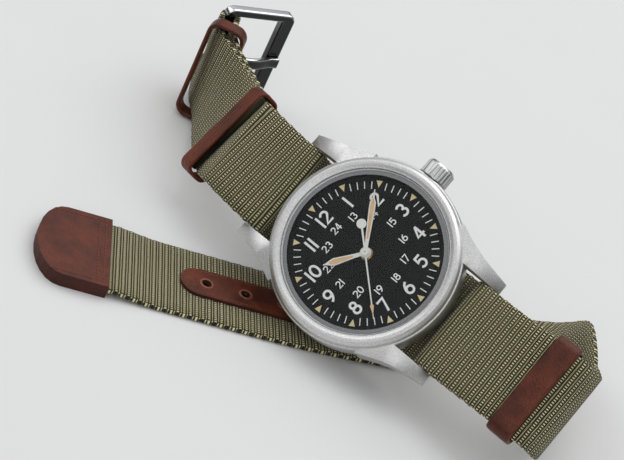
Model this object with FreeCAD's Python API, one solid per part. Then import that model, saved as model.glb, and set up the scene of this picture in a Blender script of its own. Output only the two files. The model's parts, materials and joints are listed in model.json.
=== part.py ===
import FreeCAD, Part
import math, os
from FreeCAD import Vector as V

os.makedirs("parts", exist_ok=True)

# ---------------------------------------------------------------- driving dimensions (mm)
LEAN = 50.6              # the head leans back on its 9 o'clock side by this much, degrees
HEAD = V(8.39, -1.571, 19.55)  # dial centre over the table
CASE_R = 19.0            # case radius without crown
LUG_TIP = 23.9           # half of lug to lug
LUG_GAP = 20.1           # between the lugs
BEZEL_TOP = 2.2
CRYSTAL_R = 16.2
CRYSTAL_TOP = 2.6
DIAL_R = 15.9
DIAL_T = 0.4
BACK_Z = -7.0
STEM_Z = -2.4            # crown and stem axis under the dial's face
CROWN_R = 3.1
CROWN_L = 3.3
BAR_X = 21.8             # spring bar axis
BAR_Z = -3.9
BAR_R = 0.9
WEB_W = 19.8             # webbing width
WEB_T = 1.3              # webbing thickness
LEATHER = 1.1            # keeper leather thickness
BUCKLE_H = 23.8          # buckle frame, along the strap's width
BUCKLE_D = 16.4          # buckle frame, along the strap
BUCKLE_BAR_R = 0.9
PLATE_R = 12.8           # movement radius
# gear trains: teeth and modules
CENTRE_T, THIRD_P, CENTRE_M = 80, 10, 0.1
THIRD_T, FOURTH_P = 75, 10
THIRD_M = CENTRE_M * (CENTRE_T + THIRD_P) / (THIRD_T + FOURTH_P)
FOURTH_T, ESCAPE_P, FOURTH_M = 70, 7, 0.12
BARREL_T, CENTRE_P, BARREL_M = 72, 12, 0.14
CANNON_P, MINUTE_T, CANNON_M = 12, 36, 0.12
MINUTE_P, HOUR_T = 10, 40
HOUR_M = CANNON_M * (CANNON_P + MINUTE_T) / (MINUTE_P + HOUR_T)
SETTING_T = 14
RATCHET_T, CROWN_WHEEL_T, RATCHET_M = 48, 30, 0.13
MINUTE_ANGLE, HOUR_ANGLE, SECONDS_ANGLE = 57.7, 304.8, 222.0  # hands, clockwise from 12

sin, cos, rad = math.sin, math.cos, math.radians
parts = {}


def polar(r, deg):
    return (r * cos(rad(deg)), r * sin(rad(deg)))


# head frame: +x towards 6 o'clock, +y towards 3 o'clock, +z out of the dial
third_at = polar(CENTRE_M * (CENTRE_T + THIRD_P) / 2, 295)
barrel_at = polar(BARREL_M * (BARREL_T + CENTRE_P) / 2, 165)
escape_at = polar(FOURTH_M * (FOURTH_T + ESCAPE_P) / 2, 15)
balance_at = polar(8.3, 45)
fork_at = (escape_at[0] + 2.75 * 0.289, escape_at[1] + 2.75 * 0.957)
minute_at = polar(CANNON_M * (CANNON_P + MINUTE_T) / 2, 90)
setting_at = (0.0, minute_at[1] + CANNON_M * (MINUTE_T + SETTING_T) / 2 + 0.04)
crown_wheel_at = (0.0, 8.3)


def cyl(x, y, z0, z1, r):
    return Part.makeCylinder(r, z1 - z0, V(x, y, z0))


def ring(x, y, z0, z1, r_out, r_in):
    return cyl(x, y, z0, z1, r_out).cut(cyl(x, y, z0 - 1, z1 + 1, r_in))


def box(x0, y0, z0, x1, y1, z1):
    return Part.makeBox(x1 - x0, y1 - y0, z1 - z0, V(x0, y0, z0))


def prism(points, z0, z1):
    """A straight prism on a closed polygon."""
    wire = Part.makePolygon([V(x, y, z0) for x, y in points] + [V(points[0][0], points[0][1], z0)])
    return Part.Face(wire).extrude(V(0, 0, z1 - z0))


def revolve(profile, about=V(0, 0, 1)):
    """A full turn of an (r, z) profile about the head's axis."""
    wire = Part.makePolygon([V(r, 0, z) for r, z in profile] + [V(profile[0][0], 0, profile[0][1])])
    return Part.Face(wire).revolve(V(0, 0, 0), about, 360)


def fuse(first, *rest):
    return first.multiFuse(list(rest)).removeSplitter() if rest else first


def gear(x, y, z0, z1, teeth, module, towards=0.0, gap=False, wide=0.36, tip=0.16, hole=0.0, sides=0):
    """A spur gear with straight flanks. A tooth, or a gap, is centred on the direction `towards`."""
    rp = teeth * module / 2
    ra, rf = rp + 0.75 * module, rp - 1.05 * module
    pitch = 2 * math.pi / teeth
    start = rad(towards) + (pitch / 2 if gap else 0.0)
    root = min(0.30, wide / 2 + 0.10)
    points = []
    for i in range(teeth):
        a = start + i * pitch
        for r, s in ((rf, -root), (ra, -tip / 2 - 0.02), (ra, tip / 2 + 0.02), (rf, root)):
            points.append((x + r * cos(a + s * pitch), y + r * sin(a + s * pitch)))
    body = prism(points, z0, z1)
    return body.cut(cyl(x, y, z0 - 1, z1 + 1, hole)) if hole else body


def spoked(x, y, z0, z1, r_rim, spokes, hub):
    """Openings between the spokes of a wheel, to cut out."""
    cuts = []
    for i in range(spokes):
        a0 = 360.0 / spokes * i
        half = math.degrees(0.22 / hub) if hub > 0.22 else 30
        out_half = math.degrees(0.22 / r_rim)
        pts = [(x + hub * cos(rad(a0 + half)), y + hub * sin(rad(a0 + half)))]
        n = 8
        for k in range(n + 1):
            a = a0 + out_half + (360.0 / spokes - 2 * out_half) * k / n
            pts.append((x + r_rim * cos(rad(a)), y + r_rim * sin(rad(a))))
        pts.append((x + hub * cos(rad(a0 + 360.0 / spokes - half)), y + hub * sin(rad(a0 + 360.0 / spokes - half))))
        for k in range(1, 4):
            a = a0 + 360.0 / spokes - half - (360.0 / spokes - 2 * half) * k / 4
            pts.append((x + hub * cos(rad(a)), y + hub * sin(rad(a))))
        cuts.append(prism(pts, z0 - 0.5, z1 + 0.5))
    return cuts


# ================================================================= case
def lug(sx, sy):
    side = [(11.0, 0.7), (16.6, 0.7), (18.6, 0.25), (20.6, -0.75), (22.6, -2.25), (LUG_TIP, -3.7), (LUG_TIP - 0.25, -6.0),
            (22.9, -6.5), (21.6, -6.3), (19.5, -5.3), (17.0, -4.9), (11.0, -4.9)]
    body = Part.Face(Part.makePolygon([V(x, 9.0, z) for x, z in side] + [V(side[0][0], 9.0, side[0][1])])).extrude(V(0, 9.5, 0))
    half = LUG_GAP / 2
    top = [(8.0, half), (LUG_TIP + 1, half), (LUG_TIP + 1, 12.3), (LUG_TIP, 12.35), (22.0, 12.6), (20.0, 12.95),
           (18.0, 13.4), (16.0, 14.0), (14.0, 14.75), (12.0, 15.6), (10.2, 16.4), (8.0, 16.9)]
    body = body.common(prism(top, -8, 3))
    # the slanted facet that cuts the tip's outer corner
    facet = prism([(22.3, 14), (LUG_TIP + 1.2, 11.0), (LUG_TIP + 3, 14)], -9, 3)
    body = body.cut(facet)
    if sy < 0:
        body = body.mirror(V(0, 0, 0), V(0, 1, 0))
    if sx < 0:
        body = body.mirror(V(0, 0, 0), V(1, 0, 0))
    return body


middle = revolve([(0, -5.4), (17.7, -5.4), (18.5, -4.9), (CASE_R, -3.9), (CASE_R, 0.3), (18.85, 0.62), (18.6, 0.75), (0, 0.75)])
middle = middle.multiFuse([lug(1, 1), lug(1, -1), lug(-1, 1), lug(-1, -1)])
# strap gap between the lugs, outside the round case
for s in (1, -1):
    gap = box(14.0 if s > 0 else -30, -LUG_GAP / 2, -9, 30 if s > 0 else -14.0, LUG_GAP / 2, 3).cut(cyl(0, 0, -10, 4, CASE_R))
    middle = middle.cut(gap)
# cavity: dial seat, movement space and the seat of the back
middle = middle.cut(revolve([(0, -0.45), (DIAL_R + 0.1, -0.45), (DIAL_R + 0.1, 0.1), (16.35, 0.1), (16.35, 1.5), (0, 1.5)]))
middle = middle.cut(revolve([(0, -6), (16.4, -6), (16.4, -4.6), (13.9, -4.6), (13.9, -0.3), (0, -0.3)]))
# crown tube bore and the recess under the crown
tube_bore = Part.makeCylinder(1.3, 8, V(0, 12, STEM_Z), V(0, 1, 0))
middle = middle.cut(tube_bore)
middle = middle.cut(Part.makeCylinder(3.3, 2.0, V(0, 18.75, STEM_Z), V(0, 1, 0)))
# blind spring bar holes
for sx in (1, -1):
    for sy in (1, -1):
        y = LUG_GAP / 2
        middle = middle.cut(Part.makeCylinder(0.5, 1.4, V(sx * BAR_X, sy * (y - 0.2), BAR_Z), V(0, sy, 0)))
parts["case_middle"] = middle.removeSplitter()

parts["bezel"] = revolve([(16.3, 0.8), (18.6, 0.8), (18.62, 1.05), (18.3, 1.75), (17.75, BEZEL_TOP), (17.1, BEZEL_TOP), (16.55, 1.95), (16.3, 1.95)]).fuse(
    revolve([(15.95, 0.8), (16.3, 0.8), (16.3, 1.3), (15.95, 1.3)])).removeSplitter()
parts["crystal_gasket"] = revolve([(16.22, 1.32), (16.29, 1.32), (16.29, 1.93), (16.22, 1.93)])
parts["crystal"] = revolve([(0, 1.32), (CRYSTAL_R, 1.32), (CRYSTAL_R, 2.15), (15.95, 2.35), (12.0, 2.5), (7.0, 2.58), (0, CRYSTAL_TOP)])
parts["flange_ring"] = revolve([(15.05, 0.02), (15.9, 0.12), (15.9, 1.28), (15.15, 1.28)])
dial = cyl(0, 0, -DIAL_T, 0, DIAL_R).cut(cyl(0, 0, -1, 1, 1.35))
for a in (100, 260):
    px, py = polar(13.0, a)
    dial = dial.fuse(cyl(px, py, -1.2, -DIAL_T, 0.35))
parts["dial"] = dial.removeSplitter()
parts["case_back"] = revolve([(0, BACK_Z), (15.2, BACK_Z), (16.6, -6.5), (17.2, -5.95), (17.2, -5.42), (16.35, -5.42), (16.35, -4.75), (15.3, -4.75),
                              (15.3, -5.6), (0, -5.6)])
parts["case_back_gasket"] = revolve([(15.6, -4.73), (16.2, -4.73), (16.2, -4.62), (15.6, -4.62)])
holder = ring(0, 0, -4.0, -0.5, 13.85, PLATE_R + 0.05)
holder = holder.cut(Part.makeCylinder(1.35, 8, V(0, 10, STEM_Z), V(0, 1, 0)))
for a in (100, 260):
    px, py = polar(13.0, a)
    holder = holder.cut(cyl(px, py, -2, 0, 0.5))
parts["movement_ring"] = holder

# ================================================================= crown and stem
crown = Part.makeCylinder(CROWN_R, CROWN_L - 0.6, V(0, 19.1, STEM_Z), V(0, 1, 0))
cone = Part.makeCone(CROWN_R, CROWN_R - 0.55, 0.6, V(0, 19.1 + CROWN_L - 0.6, STEM_Z), V(0, 1, 0))
crown = crown.fuse(cone)
flutes = []
for i in range(24):
    a = rad(15 * i)
    flutes.append(Part.makeCylinder(0.24, CROWN_L - 0.45, V((CROWN_R + 0.09) * cos(a), 19.3, STEM_Z + (CROWN_R + 0.09) * sin(a)), V(0, 1, 0)))
crown = crown.cut(Part.makeCompound(flutes))
crown = crown.cut(Part.makeCylinder(2.05, 2.2, V(0, 19.0, STEM_Z), V(0, 1, 0)))
crown = crown.fuse(Part.makeCylinder(0.85, 2.1, V(0, 19.2, STEM_Z), V(0, 1, 0)))
parts["crown"] = crown.cut(Part.makeCylinder(0.46, 1.7, V(0, 19.0, STEM_Z), V(0, 1, 0))).removeSplitter()
tube = Part.makeCylinder(1.28, 6.2, V(0, 14.2, STEM_Z), V(0, 1, 0)).cut(Part.makeCylinder(0.95, 8, V(0, 13, STEM_Z), V(0, 1, 0)))
parts["crown_tube"] = tube
stem = Part.makeCylinder(0.45, 13.5, V(0, 7.2, STEM_Z), V(0, 1, 0))
stem = stem.cut(Part.makeCylinder(0.7, 0.5, V(0, 11.0, STEM_Z), V(0, 1, 0)).cut(Part.makeCylinder(0.28, 2, V(0, 10.5, STEM_Z), V(0, 1, 0))))
stem = stem.fuse(box(-0.25, 5.4, STEM_Z - 0.25, 0.25, 7.2, STEM_Z + 0.25))
parts["winding_stem"] = stem.removeSplitter()


def along_stem(shape_z, y0):
    """Turn a shape built on the z axis so that its axis runs outwards along the stem, from y0."""
    s = shape_z.copy()
    s.rotate(V(0, 0, 0), V(1, 0, 0), -90)
    s.translate(V(0, y0, STEM_Z))
    return s


winding = gear(0, 0, 0, 0.9, 16, 0.125, 90, False)
winding = winding.fuse(cyl(0, 0, -0.1, 0.0, 0.9).fuse(cyl(0, 0, 0.9, 1.15, 0.7))).cut(cyl(0, 0, -1, 3, 0.48))
parts["winding_pinion"] = along_stem(winding.removeSplitter(), 8.9)
clutch = gear(0, 0, 0, 0.3, 14, 0.13, 90, False).fuse(cyl(0, 0, 0.3, 0.6, 0.6)).fuse(cyl(0, 0, 0.6, 0.9, 0.9))
clutch = clutch.cut(prism([(-0.28, -0.28), (0.28, -0.28), (0.28, 0.28), (-0.28, 0.28)], -1, 3))
clutch = clutch.cut(cyl(0, 0, 0.60, 2, 0.5))
parts["sliding_pinion"] = along_stem(clutch.removeSplitter(), 6.56)

# ================================================================= plates and bridges
def sector(r0, r1, a0, a1, z0, z1, n=24):
    pts = [polar(r1, a0 + (a1 - a0) * k / n) for k in range(n + 1)]
    pts += [polar(r0, a1 - (a1 - a0) * k / n) for k in range(n + 1)] if r0 else [(0.0, 0.0)]
    return prism(pts, z0, z1)


JEWEL_R, PIVOT_R = 0.45, 0.12
lower_jewels = [third_at, escape_at, fork_at, balance_at]
plate = cyl(0, 0, -2.2, -1.45, PLATE_R).fuse(ring(0, 0, -1.45, -0.5, PLATE_R, 10.8))
plate = plate.cut(box(-1.7, 4.9, -3, 1.7, 14, 0)).cut(box(-4.6, 8.6, -1.45, 1.7, 12.3, 0)).cut(cyl(0, 0, -3, 0, 0.82))
for p in lower_jewels:
    plate = plate.cut(cyl(p[0], p[1], -3, 0, JEWEL_R))
plate = plate.cut(cyl(barrel_at[0], barrel_at[1], -3, 0, 0.62))
for a in (100, 260):
    px, py = polar(13.0, a)
    plate = plate.cut(cyl(px, py, -3, 0, 0.5))
plate = plate.fuse(cyl(minute_at[0], minute_at[1], -1.45, -0.62, 0.25)).fuse(box(-0.3, setting_at[1] - 0.3, -2.08, 1.8, setting_at[1] + 0.3, -1.85)).fuse(cyl(setting_at[0], setting_at[1], -1.95, -0.75, 0.2))
parts["main_plate"] = plate.removeSplitter()

BR0, BR1 = -5.0, -4.45
barrel_bridge = sector(0, 12.6, 98, 232, BR0, BR1).cut(cyl(0, 0, -6, 0, 4.6)).fuse(sector(11.4, 12.6, 100, 230, BR1, -2.25))
barrel_bridge = barrel_bridge.cut(cyl(barrel_at[0], barrel_at[1], -6, 0, 0.62)).fuse(sector(5.0, 11.4, 70, 98.5, BR0, BR1)).fuse(sector(11.4, 12.6, 101, 112, BR1, -2.25))
barrel_bridge = barrel_bridge.cut(cyl(crown_wheel_at[0], crown_wheel_at[1], -6, -1, 0.55))
screw_at = [polar(12.0, 125), polar(12.0, 205), polar(12.0, 255), polar(12.0, 330), polar(12.0, 45)]
train_bridge = sector(0, 12.6, 238, 366, BR0, BR1).fuse(cyl(0, 0, BR0, BR1, 4.3)).fuse(sector(11.4, 12.6, 240, 350, BR1, -2.25))
for p in (third_at, escape_at, (0.0, 0.0)):
    train_bridge = train_bridge.fuse(cyl(p[0], p[1], BR0, BR1, 0.95)) if p == escape_at else train_bridge
    train_bridge = train_bridge.cut(cyl(p[0], p[1], -6, 0, JEWEL_R))
cock = sector(7.2, 12.6, 38, 52, BR0, BR1).fuse(cyl(balance_at[0], balance_at[1], BR0, BR1, 1.4)).fuse(sector(12.1, 12.6, 36, 54, BR1, -2.25))
cock = cock.cut(cyl(balance_at[0], balance_at[1], -6, 0, JEWEL_R))
screws = []
for i, p in enumerate(screw_at):
    hole = cyl(p[0], p[1], -6, -2.0, 0.26)
    sink = cyl(p[0], p[1], -6, -4.75, 0.55)
    if i < 2:
        barrel_bridge = barrel_bridge.cut(hole).cut(sink)
    elif i < 4:
        train_bridge = train_bridge.cut(hole).cut(sink)
    else:
        q = polar(11.55, 45)
        hole, sink = cyl(q[0], q[1], -6, -2.0, 0.26), cyl(q[0], q[1], -6, -4.75, 0.45)
        cock = cock.cut(hole).cut(sink)
        p = q
    head_r = 0.5 if i < 4 else 0.4
    s = cyl(p[0], p[1], -4.76, -3.2 if i < 4 else -3.85, 0.24).fuse(cyl(p[0], p[1], -4.98, -4.76, head_r))
    s = s.cut(box(p[0] - 0.06, p[1] - 0.8, -5.2, p[0] + 0.06, p[1] + 0.8, -4.88))
    screws.append(s.removeSplitter())
parts["barrel_bridge"] = barrel_bridge.removeSplitter()
parts["train_bridge"] = train_bridge.removeSplitter()
parts["balance_cock"] = cock.removeSplitter()
parts["bridge_screws"] = Part.makeCompound(screws)
pallet_bridge = prism([(fork_at[0] + dx, fork_at[1] + dy) for dx, dy in ((-1.65, -0.5), (1.6, -0.5), (1.6, 0.35), (-1.25, 0.35), (-1.25, 1.15), (-1.65, 1.15))], -3.46, -3.3)
pallet_bridge = pallet_bridge.fuse(box(fork_at[0] + 1.2, fork_at[1] - 0.45, -3.3, fork_at[0] + 1.6, fork_at[1] + 0.3, -2.22))
pallet_bridge = pallet_bridge.fuse(box(fork_at[0] - 1.6, fork_at[1] + 0.78, -3.3, fork_at[0] - 1.3, fork_at[1] + 1.1, -2.22))
parts["pallet_bridge"] = pallet_bridge.cut(cyl(fork_at[0], fork_at[1], -4, -3, 0.15)).removeSplitter()

jewels = []
for p in lower_jewels:
    jewels.append(ring(p[0], p[1], -2.18, -1.6, JEWEL_R - 0.005, PIVOT_R + 0.04))
for p in (third_at, escape_at, (0.0, 0.0), balance_at):
    jewels.append(ring(p[0], p[1], -4.98, -4.47, JEWEL_R - 0.005, PIVOT_R + 0.04))
parts["jewels"] = Part.makeCompound(jewels)

# ================================================================= going train
bx, by = barrel_at
barrel = gear(bx, by, -2.75, -2.4, BARREL_T, BARREL_M, 165 + 180, False)
barrel = barrel.fuse(cyl(bx, by, -3.4, -2.75, 4.7)).cut(cyl(bx, by, -3.6, -2.55, 4.4)).cut(cyl(bx, by, -4, -2, 0.66))
parts["barrel_drum"] = barrel.removeSplitter()
parts["barrel_lid"] = ring(bx, by, -3.39, -3.25, 4.38, 0.66)
arbor = cyl(bx, by, -4.4, -1.5, 0.58).fuse(cyl(bx, by, -3.2, -2.6, 1.3)).fuse(box(bx - 0.35, by - 0.35, -5.45, bx + 0.35, by + 0.35, -4.4))
parts["barrel_arbor"] = arbor.removeSplitter()


def coil(x, y, z0, z1, r0, r1, turns, thick, per=18):
    """A flat spiral strip with a rectangular section, as one polygon."""
    n = int(turns * per)
    inner, outer = [], []
    for k in range(n + 1):
        a = 2 * math.pi * turns * k / n
        r = r0 + (r1 - r0) * k / n
        inner.append((x + r * cos(a), y + r * sin(a)))
        outer.append((x + (r + thick) * cos(a), y + (r + thick) * sin(a)))
    return prism(inner + outer[::-1], z0, z1)


parts["mainspring"] = coil(bx, by, -3.15, -2.65, 1.45, 4.1, 7, 0.16)

centre = gear(0, 0, -2.72, -2.35, CENTRE_P, BARREL_M, 165, True).fuse(gear(0, 0, -3.7, -3.55, CENTRE_T, CENTRE_M, 295, False).cut(
    Part.makeCompound(spoked(0, 0, -3.7, -3.55, 3.35, 5, 1.0))))
centre = centre.fuse(cyl(0, 0, -3.55, -2.72, 0.75)).fuse(cyl(0, 0, -2.35, -2.25, 0.7)).fuse(cyl(0, 0, -2.25, 0.3, 0.42)).cut(cyl(0, 0, -5, 2, 0.24))
parts["centre_wheel"] = centre.removeSplitter()
cannon = gear(0, 0, -1.38, -1.02, CANNON_P, CANNON_M, 90, False).fuse(cyl(0, 0, -1.02, 0.75, 0.6)).cut(cyl(0, 0, -3, 2, 0.42))
parts["cannon_pinion"] = cannon.removeSplitter()
x, y = third_at
third = gear(x, y, -3.76, -3.5, THIRD_P, CENTRE_M, 295 + 180, True).fuse(gear(x, y, -4.02, -3.88, THIRD_T, THIRD_M, 295 + 180, False).cut(
    Part.makeCompound(spoked(x, y, -4.02, -3.88, 3.3, 5, 0.7))))
third = third.fuse(cyl(x, y, -4.4, -2.25, 0.25)).fuse(cyl(x, y, -4.9, -1.65, PIVOT_R))
parts["third_wheel"] = third.removeSplitter()
fourth = gear(0, 0, -4.06, -3.82, FOURTH_P, THIRD_M, 295, True).fuse(gear(0, 0, -4.32, -4.18, FOURTH_T, FOURTH_M, 15, False).cut(
    Part.makeCompound(spoked(0, 0, -4.32, -4.18, 3.5, 5, 0.8))))
fourth = fourth.fuse(cyl(0, 0, -4.42, -3.82, 0.3)).fuse(cyl(0, 0, -4.9, -4.4, PIVOT_R)).fuse(cyl(0, 0, -3.82, 1.16, 0.2))
parts["fourth_wheel"] = fourth.removeSplitter()
x, y = escape_at
escape = gear(x, y, -4.36, -4.12, ESCAPE_P, FOURTH_M, 15 + 180, True)
pts = []
for i in range(15):
    a = 15 + 24.0 * i
    for r, s in ((1.55, 0), (1.6, 8), (2.15, 15), (2.2, 17), (1.75, 19)):
        pts.append((x + r * cos(rad(a + s)), y + r * sin(rad(a + s))))
wheel = prism(pts, -3.1, -2.95).cut(Part.makeCompound(spoked(x, y, -3.1, -2.95, 1.35, 4, 0.45)))
escape = escape.fuse(wheel).fuse(cyl(x, y, -4.4, -2.25, 0.2)).fuse(cyl(x, y, -4.9, -1.65, PIVOT_R))
parts["escape_wheel"] = escape.removeSplitter()

# pallet fork: two arms towards the escape wheel, one lever towards the balance
fx, fy = fork_at
ux, uy = 0.289, 0.957      # escape to balance direction
wx, wy = uy, -ux


def fork_pt(u, w):
    return (fx + u * ux + w * wx, fy + u * uy + w * wy)


lever = [fork_pt(-0.3, -0.22), fork_pt(-0.75, -1.75), fork_pt(-1.05, -1.72), fork_pt(-0.62, -1.95), fork_pt(-0.35, -1.9), fork_pt(0.2, -0.22), fork_pt(1.25, -0.16),
         fork_pt(1.6, -0.3), fork_pt(1.7, -0.3), fork_pt(1.45, -0.07), fork_pt(1.45, 0.07), fork_pt(1.7, 0.3), fork_pt(1.6, 0.3), fork_pt(1.25, 0.16),
         fork_pt(0.2, 0.22), fork_pt(-0.35, 1.9), fork_pt(-0.62, 1.95), fork_pt(-1.05, 1.72), fork_pt(-0.75, 1.75), fork_pt(-0.3, 0.22)]
fork = prism(lever, -3.08, -2.93).fuse(cyl(fx, fy, -3.24, -2.25, 0.2)).fuse(cyl(fx, fy, -3.48, -1.65, PIVOT_R))
parts["pallet_fork"] = fork.removeSplitter()

x, y = balance_at
balance = ring(x, y, -3.75, -3.45, 3.6, 3.1).fuse(box(x - 3.3, y - 0.3, -3.7, x + 3.3, y + 0.3, -3.5))
balance = balance.fuse(cyl(x, y, -4.4, -2.25, 0.22)).fuse(cyl(x, y, -4.9, -1.65, PIVOT_R)).fuse(ring(x, y, -3.3, -3.15, 0.7, 0.1))
parts["balance_wheel"] = balance.fuse(cyl(x - 0.5 * ux, y - 0.5 * uy, -3.15, -2.85, 0.07)).removeSplitter()
parts["hairspring"] = coil(x, y, -4.12, -4.0, 0.5, 2.2, 9, 0.05, 16)

# keyless works
rx, ry = barrel_at
dist = math.hypot(crown_wheel_at[0] - rx, crown_wheel_at[1] - ry)
ratchet_dir = math.degrees(math.atan2(crown_wheel_at[1] - ry, crown_wheel_at[0] - rx))
ratchet_m = 2 * dist / (RATCHET_T + CROWN_WHEEL_T)
ratchet = gear(rx, ry, -5.4, -5.15, RATCHET_T, ratchet_m, ratchet_dir, False)
parts["ratchet_wheel"] = ratchet.cut(prism([(rx - 0.37, ry - 0.37), (rx + 0.37, ry - 0.37), (rx + 0.37, ry + 0.37), (rx - 0.37, ry + 0.37)], -6, -4))
cx, cy = crown_wheel_at
crown_wheel = gear(cx, cy, -5.4, -5.15, CROWN_WHEEL_T, ratchet_m, ratchet_dir + 180, True).fuse(cyl(cx, cy, -5.15, -4.1, 0.5)).fuse(ring(cx, cy, -4.1, -3.85, 2.1, 0.4))
# contrate teeth under the crown wheel's skirt face the winding pinion
teeth = []
for i in range(30):
    t = box(1.5, -0.06, -3.86, 2.05, 0.06, -3.62)
    t.rotate(V(0, 0, 0), V(0, 0, 1), 12.0 * i + 6)
    t.translate(V(cx, cy, 0))
    teeth.append(t)
parts["crown_wheel"] = crown_wheel.multiFuse(teeth).removeSplitter()
click_at = polar(11.6, 190)
kx, ky = click_at
dirx, diry = (rx - kx), (ry - ky)
d = math.hypot(dirx, diry)
dirx, diry = dirx / d, diry / d
tipd = d - (RATCHET_T * ratchet_m / 2 + 0.75 * ratchet_m) - 0.12
click = prism([(kx - 0.5 * diry, ky + 0.5 * dirx), (kx + tipd * dirx - 0.15 * diry, ky + tipd * diry + 0.15 * dirx), (kx + tipd * dirx + 0.15 * diry, ky + tipd * diry - 0.15 * dirx),
               (kx + 0.5 * diry, ky - 0.5 * dirx), (kx - 0.5 * dirx, ky - 0.5 * diry)], -5.3, -5.1)
parts["click"] = click.fuse(cyl(kx, ky, -5.4, -5.05, 0.42)).removeSplitter()

# motion work on the dial side
x, y = minute_at
minute = gear(x, y, -1.36, -1.2, MINUTE_T, CANNON_M, 270, True).fuse(gear(x, y, -1.2, -0.75, MINUTE_P, HOUR_M, 270, False)).cut(cyl(x, y, -3, 0, 0.28))
parts["minute_wheel"] = minute.removeSplitter()
hour = gear(0, 0, -0.98, -0.78, HOUR_T, HOUR_M, 90, True).fuse(cyl(0, 0, -0.78, 0.35, 0.95)).cut(cyl(0, 0, -3, 2, 0.63))
parts["hour_wheel"] = hour.removeSplitter()
x, y = setting_at
parts["setting_wheel"] = gear(x, y, -1.36, -1.15, SETTING_T, CANNON_M, 270, True).cut(cyl(x, y, -3, 0, 0.23))
parts["setting_lever"] = prism([(-4.0, 9.6), (-3.2, 9.0), (-2.2, 10.4), (0.25, 11.1), (0.25, 11.4), (-2.4, 11.2), (-3.6, 10.4)], -1.4, -1.15).fuse(cyl(-3.5, 9.6, -1.44, -1.1, 0.3)).fuse(
    cyl(0.0, 11.25, -2.1, -1.4, 0.12)).removeSplitter()

# ================================================================= hands
def hand(angle, outline, z0, z1, hub_r, hole_r, hub_z1):
    """A hand along -x (towards 12), turned clockwise by its reading."""
    s = prism([(-r, w) for r, w in outline] + [(-r, -w) for r, w in outline[::-1]], z0, z1)
    s = s.fuse(cyl(0, 0, z0, hub_z1, hub_r)).cut(cyl(0, 0, z0 - 2, hub_z1 + 2, hole_r)).removeSplitter()
    # clockwise as seen from the dial's front is a turn from 12 (-x) towards 3 (+y)
    s.rotate(V(0, 0, 0), V(0, 0, 1), -angle)
    return s


parts["hour_hand"] = hand(HOUR_ANGLE, [(0.9, 0.38), (2.2, 0.40), (6.3, 0.74), (7.1, 0.5), (8.0, 0.16), (8.5, 0.08)], 0.2, 0.36, 1.12, 0.62, 0.36).cut(cyl(0, 0, 0, 0.36, 0.95))
parts["minute_hand"] = hand(MINUTE_ANGLE, [(0.8, 0.32), (2.2, 0.36), (8.6, 0.62), (9.9, 0.60), (10.7, 0.2), (12.4, 0.08)], 0.55, 0.7, 1.02, 0.61, 0.7)
seconds = prism([(-13.2, 0.03), (-12.9, 0.07), (-12.0, 0.09), (-10.6, 0.36), (-10.2, 0.12), (-0.5, 0.16), (5.2, 0.2), (5.2, -0.2), (-0.5, -0.16), (-10.2, -0.12), (-10.6, -0.36), (-12.0, -0.09), (-12.9, -0.07), (-13.2, -0.03)], 0.88, 0.98)
seconds = seconds.fuse(cyl(5.6, 0, 0.88, 0.98, 0.97)).fuse(cyl(0, 0, 0.84, 1.2, 0.72)).cut(cyl(0, 0, 0, 2, 0.2))
seconds.rotate(V(0, 0, 0), V(0, 0, 1), -SECONDS_ANGLE)
parts["seconds_hand"] = seconds.removeSplitter()

# ================================================================= spring bars
tubes, springs = [], []
for sx in (1, -1):
    tube = Part.makeCylinder(BAR_R, 2 * 9.3, V(sx * BAR_X, -9.3, BAR_Z), V(0, 1, 0)).cut(Part.makeCylinder(0.62, 20, V(sx * BAR_X, -10, BAR_Z), V(0, 1, 0)))
    tubes.append(tube)
    springs.append(Part.makeCylinder(0.5, 13.0, V(sx * BAR_X, -6.5, BAR_Z), V(0, 1, 0)).cut(Part.makeCylinder(0.36, 14, V(sx * BAR_X, -7, BAR_Z), V(0, 1, 0))))
    for sy, name in ((1, "three_side"), (-1, "nine_side")):
        pin = Part.makeCylinder(0.45, 1.75, V(sx * BAR_X, sy * 9.3, BAR_Z), V(0, sy, 0))
        pin = pin.fuse(Part.makeCylinder(0.55, 2.75, V(sx * BAR_X, sy * 6.55, BAR_Z), V(0, sy, 0)))
        parts["spring_bar_pin_%s_%s" % ("six" if sx > 0 else "twelve", name)] = pin.removeSplitter()
parts["spring_bar_tubes"] = Part.makeCompound(tubes)
parts["spring_bar_springs"] = Part.makeCompound(springs)

# ---------------------------------------------------------------- head pieces go to their place in the row
HEAD_NODES = list(parts)
c, s = cos(rad(LEAN)), sin(rad(LEAN))
AX, AY, AZ = V(1, 0, 0), V(0, c, s), V(0, -s, c)


def place(x, y, z):
    return HEAD + AX * x + AY * y + AZ * z


for name in HEAD_NODES:
    shape = parts[name].copy()
    shape.rotate(V(0, 0, 0), V(1, 0, 0), LEAN)
    shape.translate(HEAD)
    parts[name] = shape


# ================================================================= strap
def unit(v):
    v = V(v)
    v.normalize()
    return v


def bezier(p0, p1, p2, p3, t):
    u = 1 - t
    return p0 * (u * u * u) + p1 * (3 * u * u * t) + p2 * (3 * u * t * t) + p3 * (t * t * t)


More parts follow.
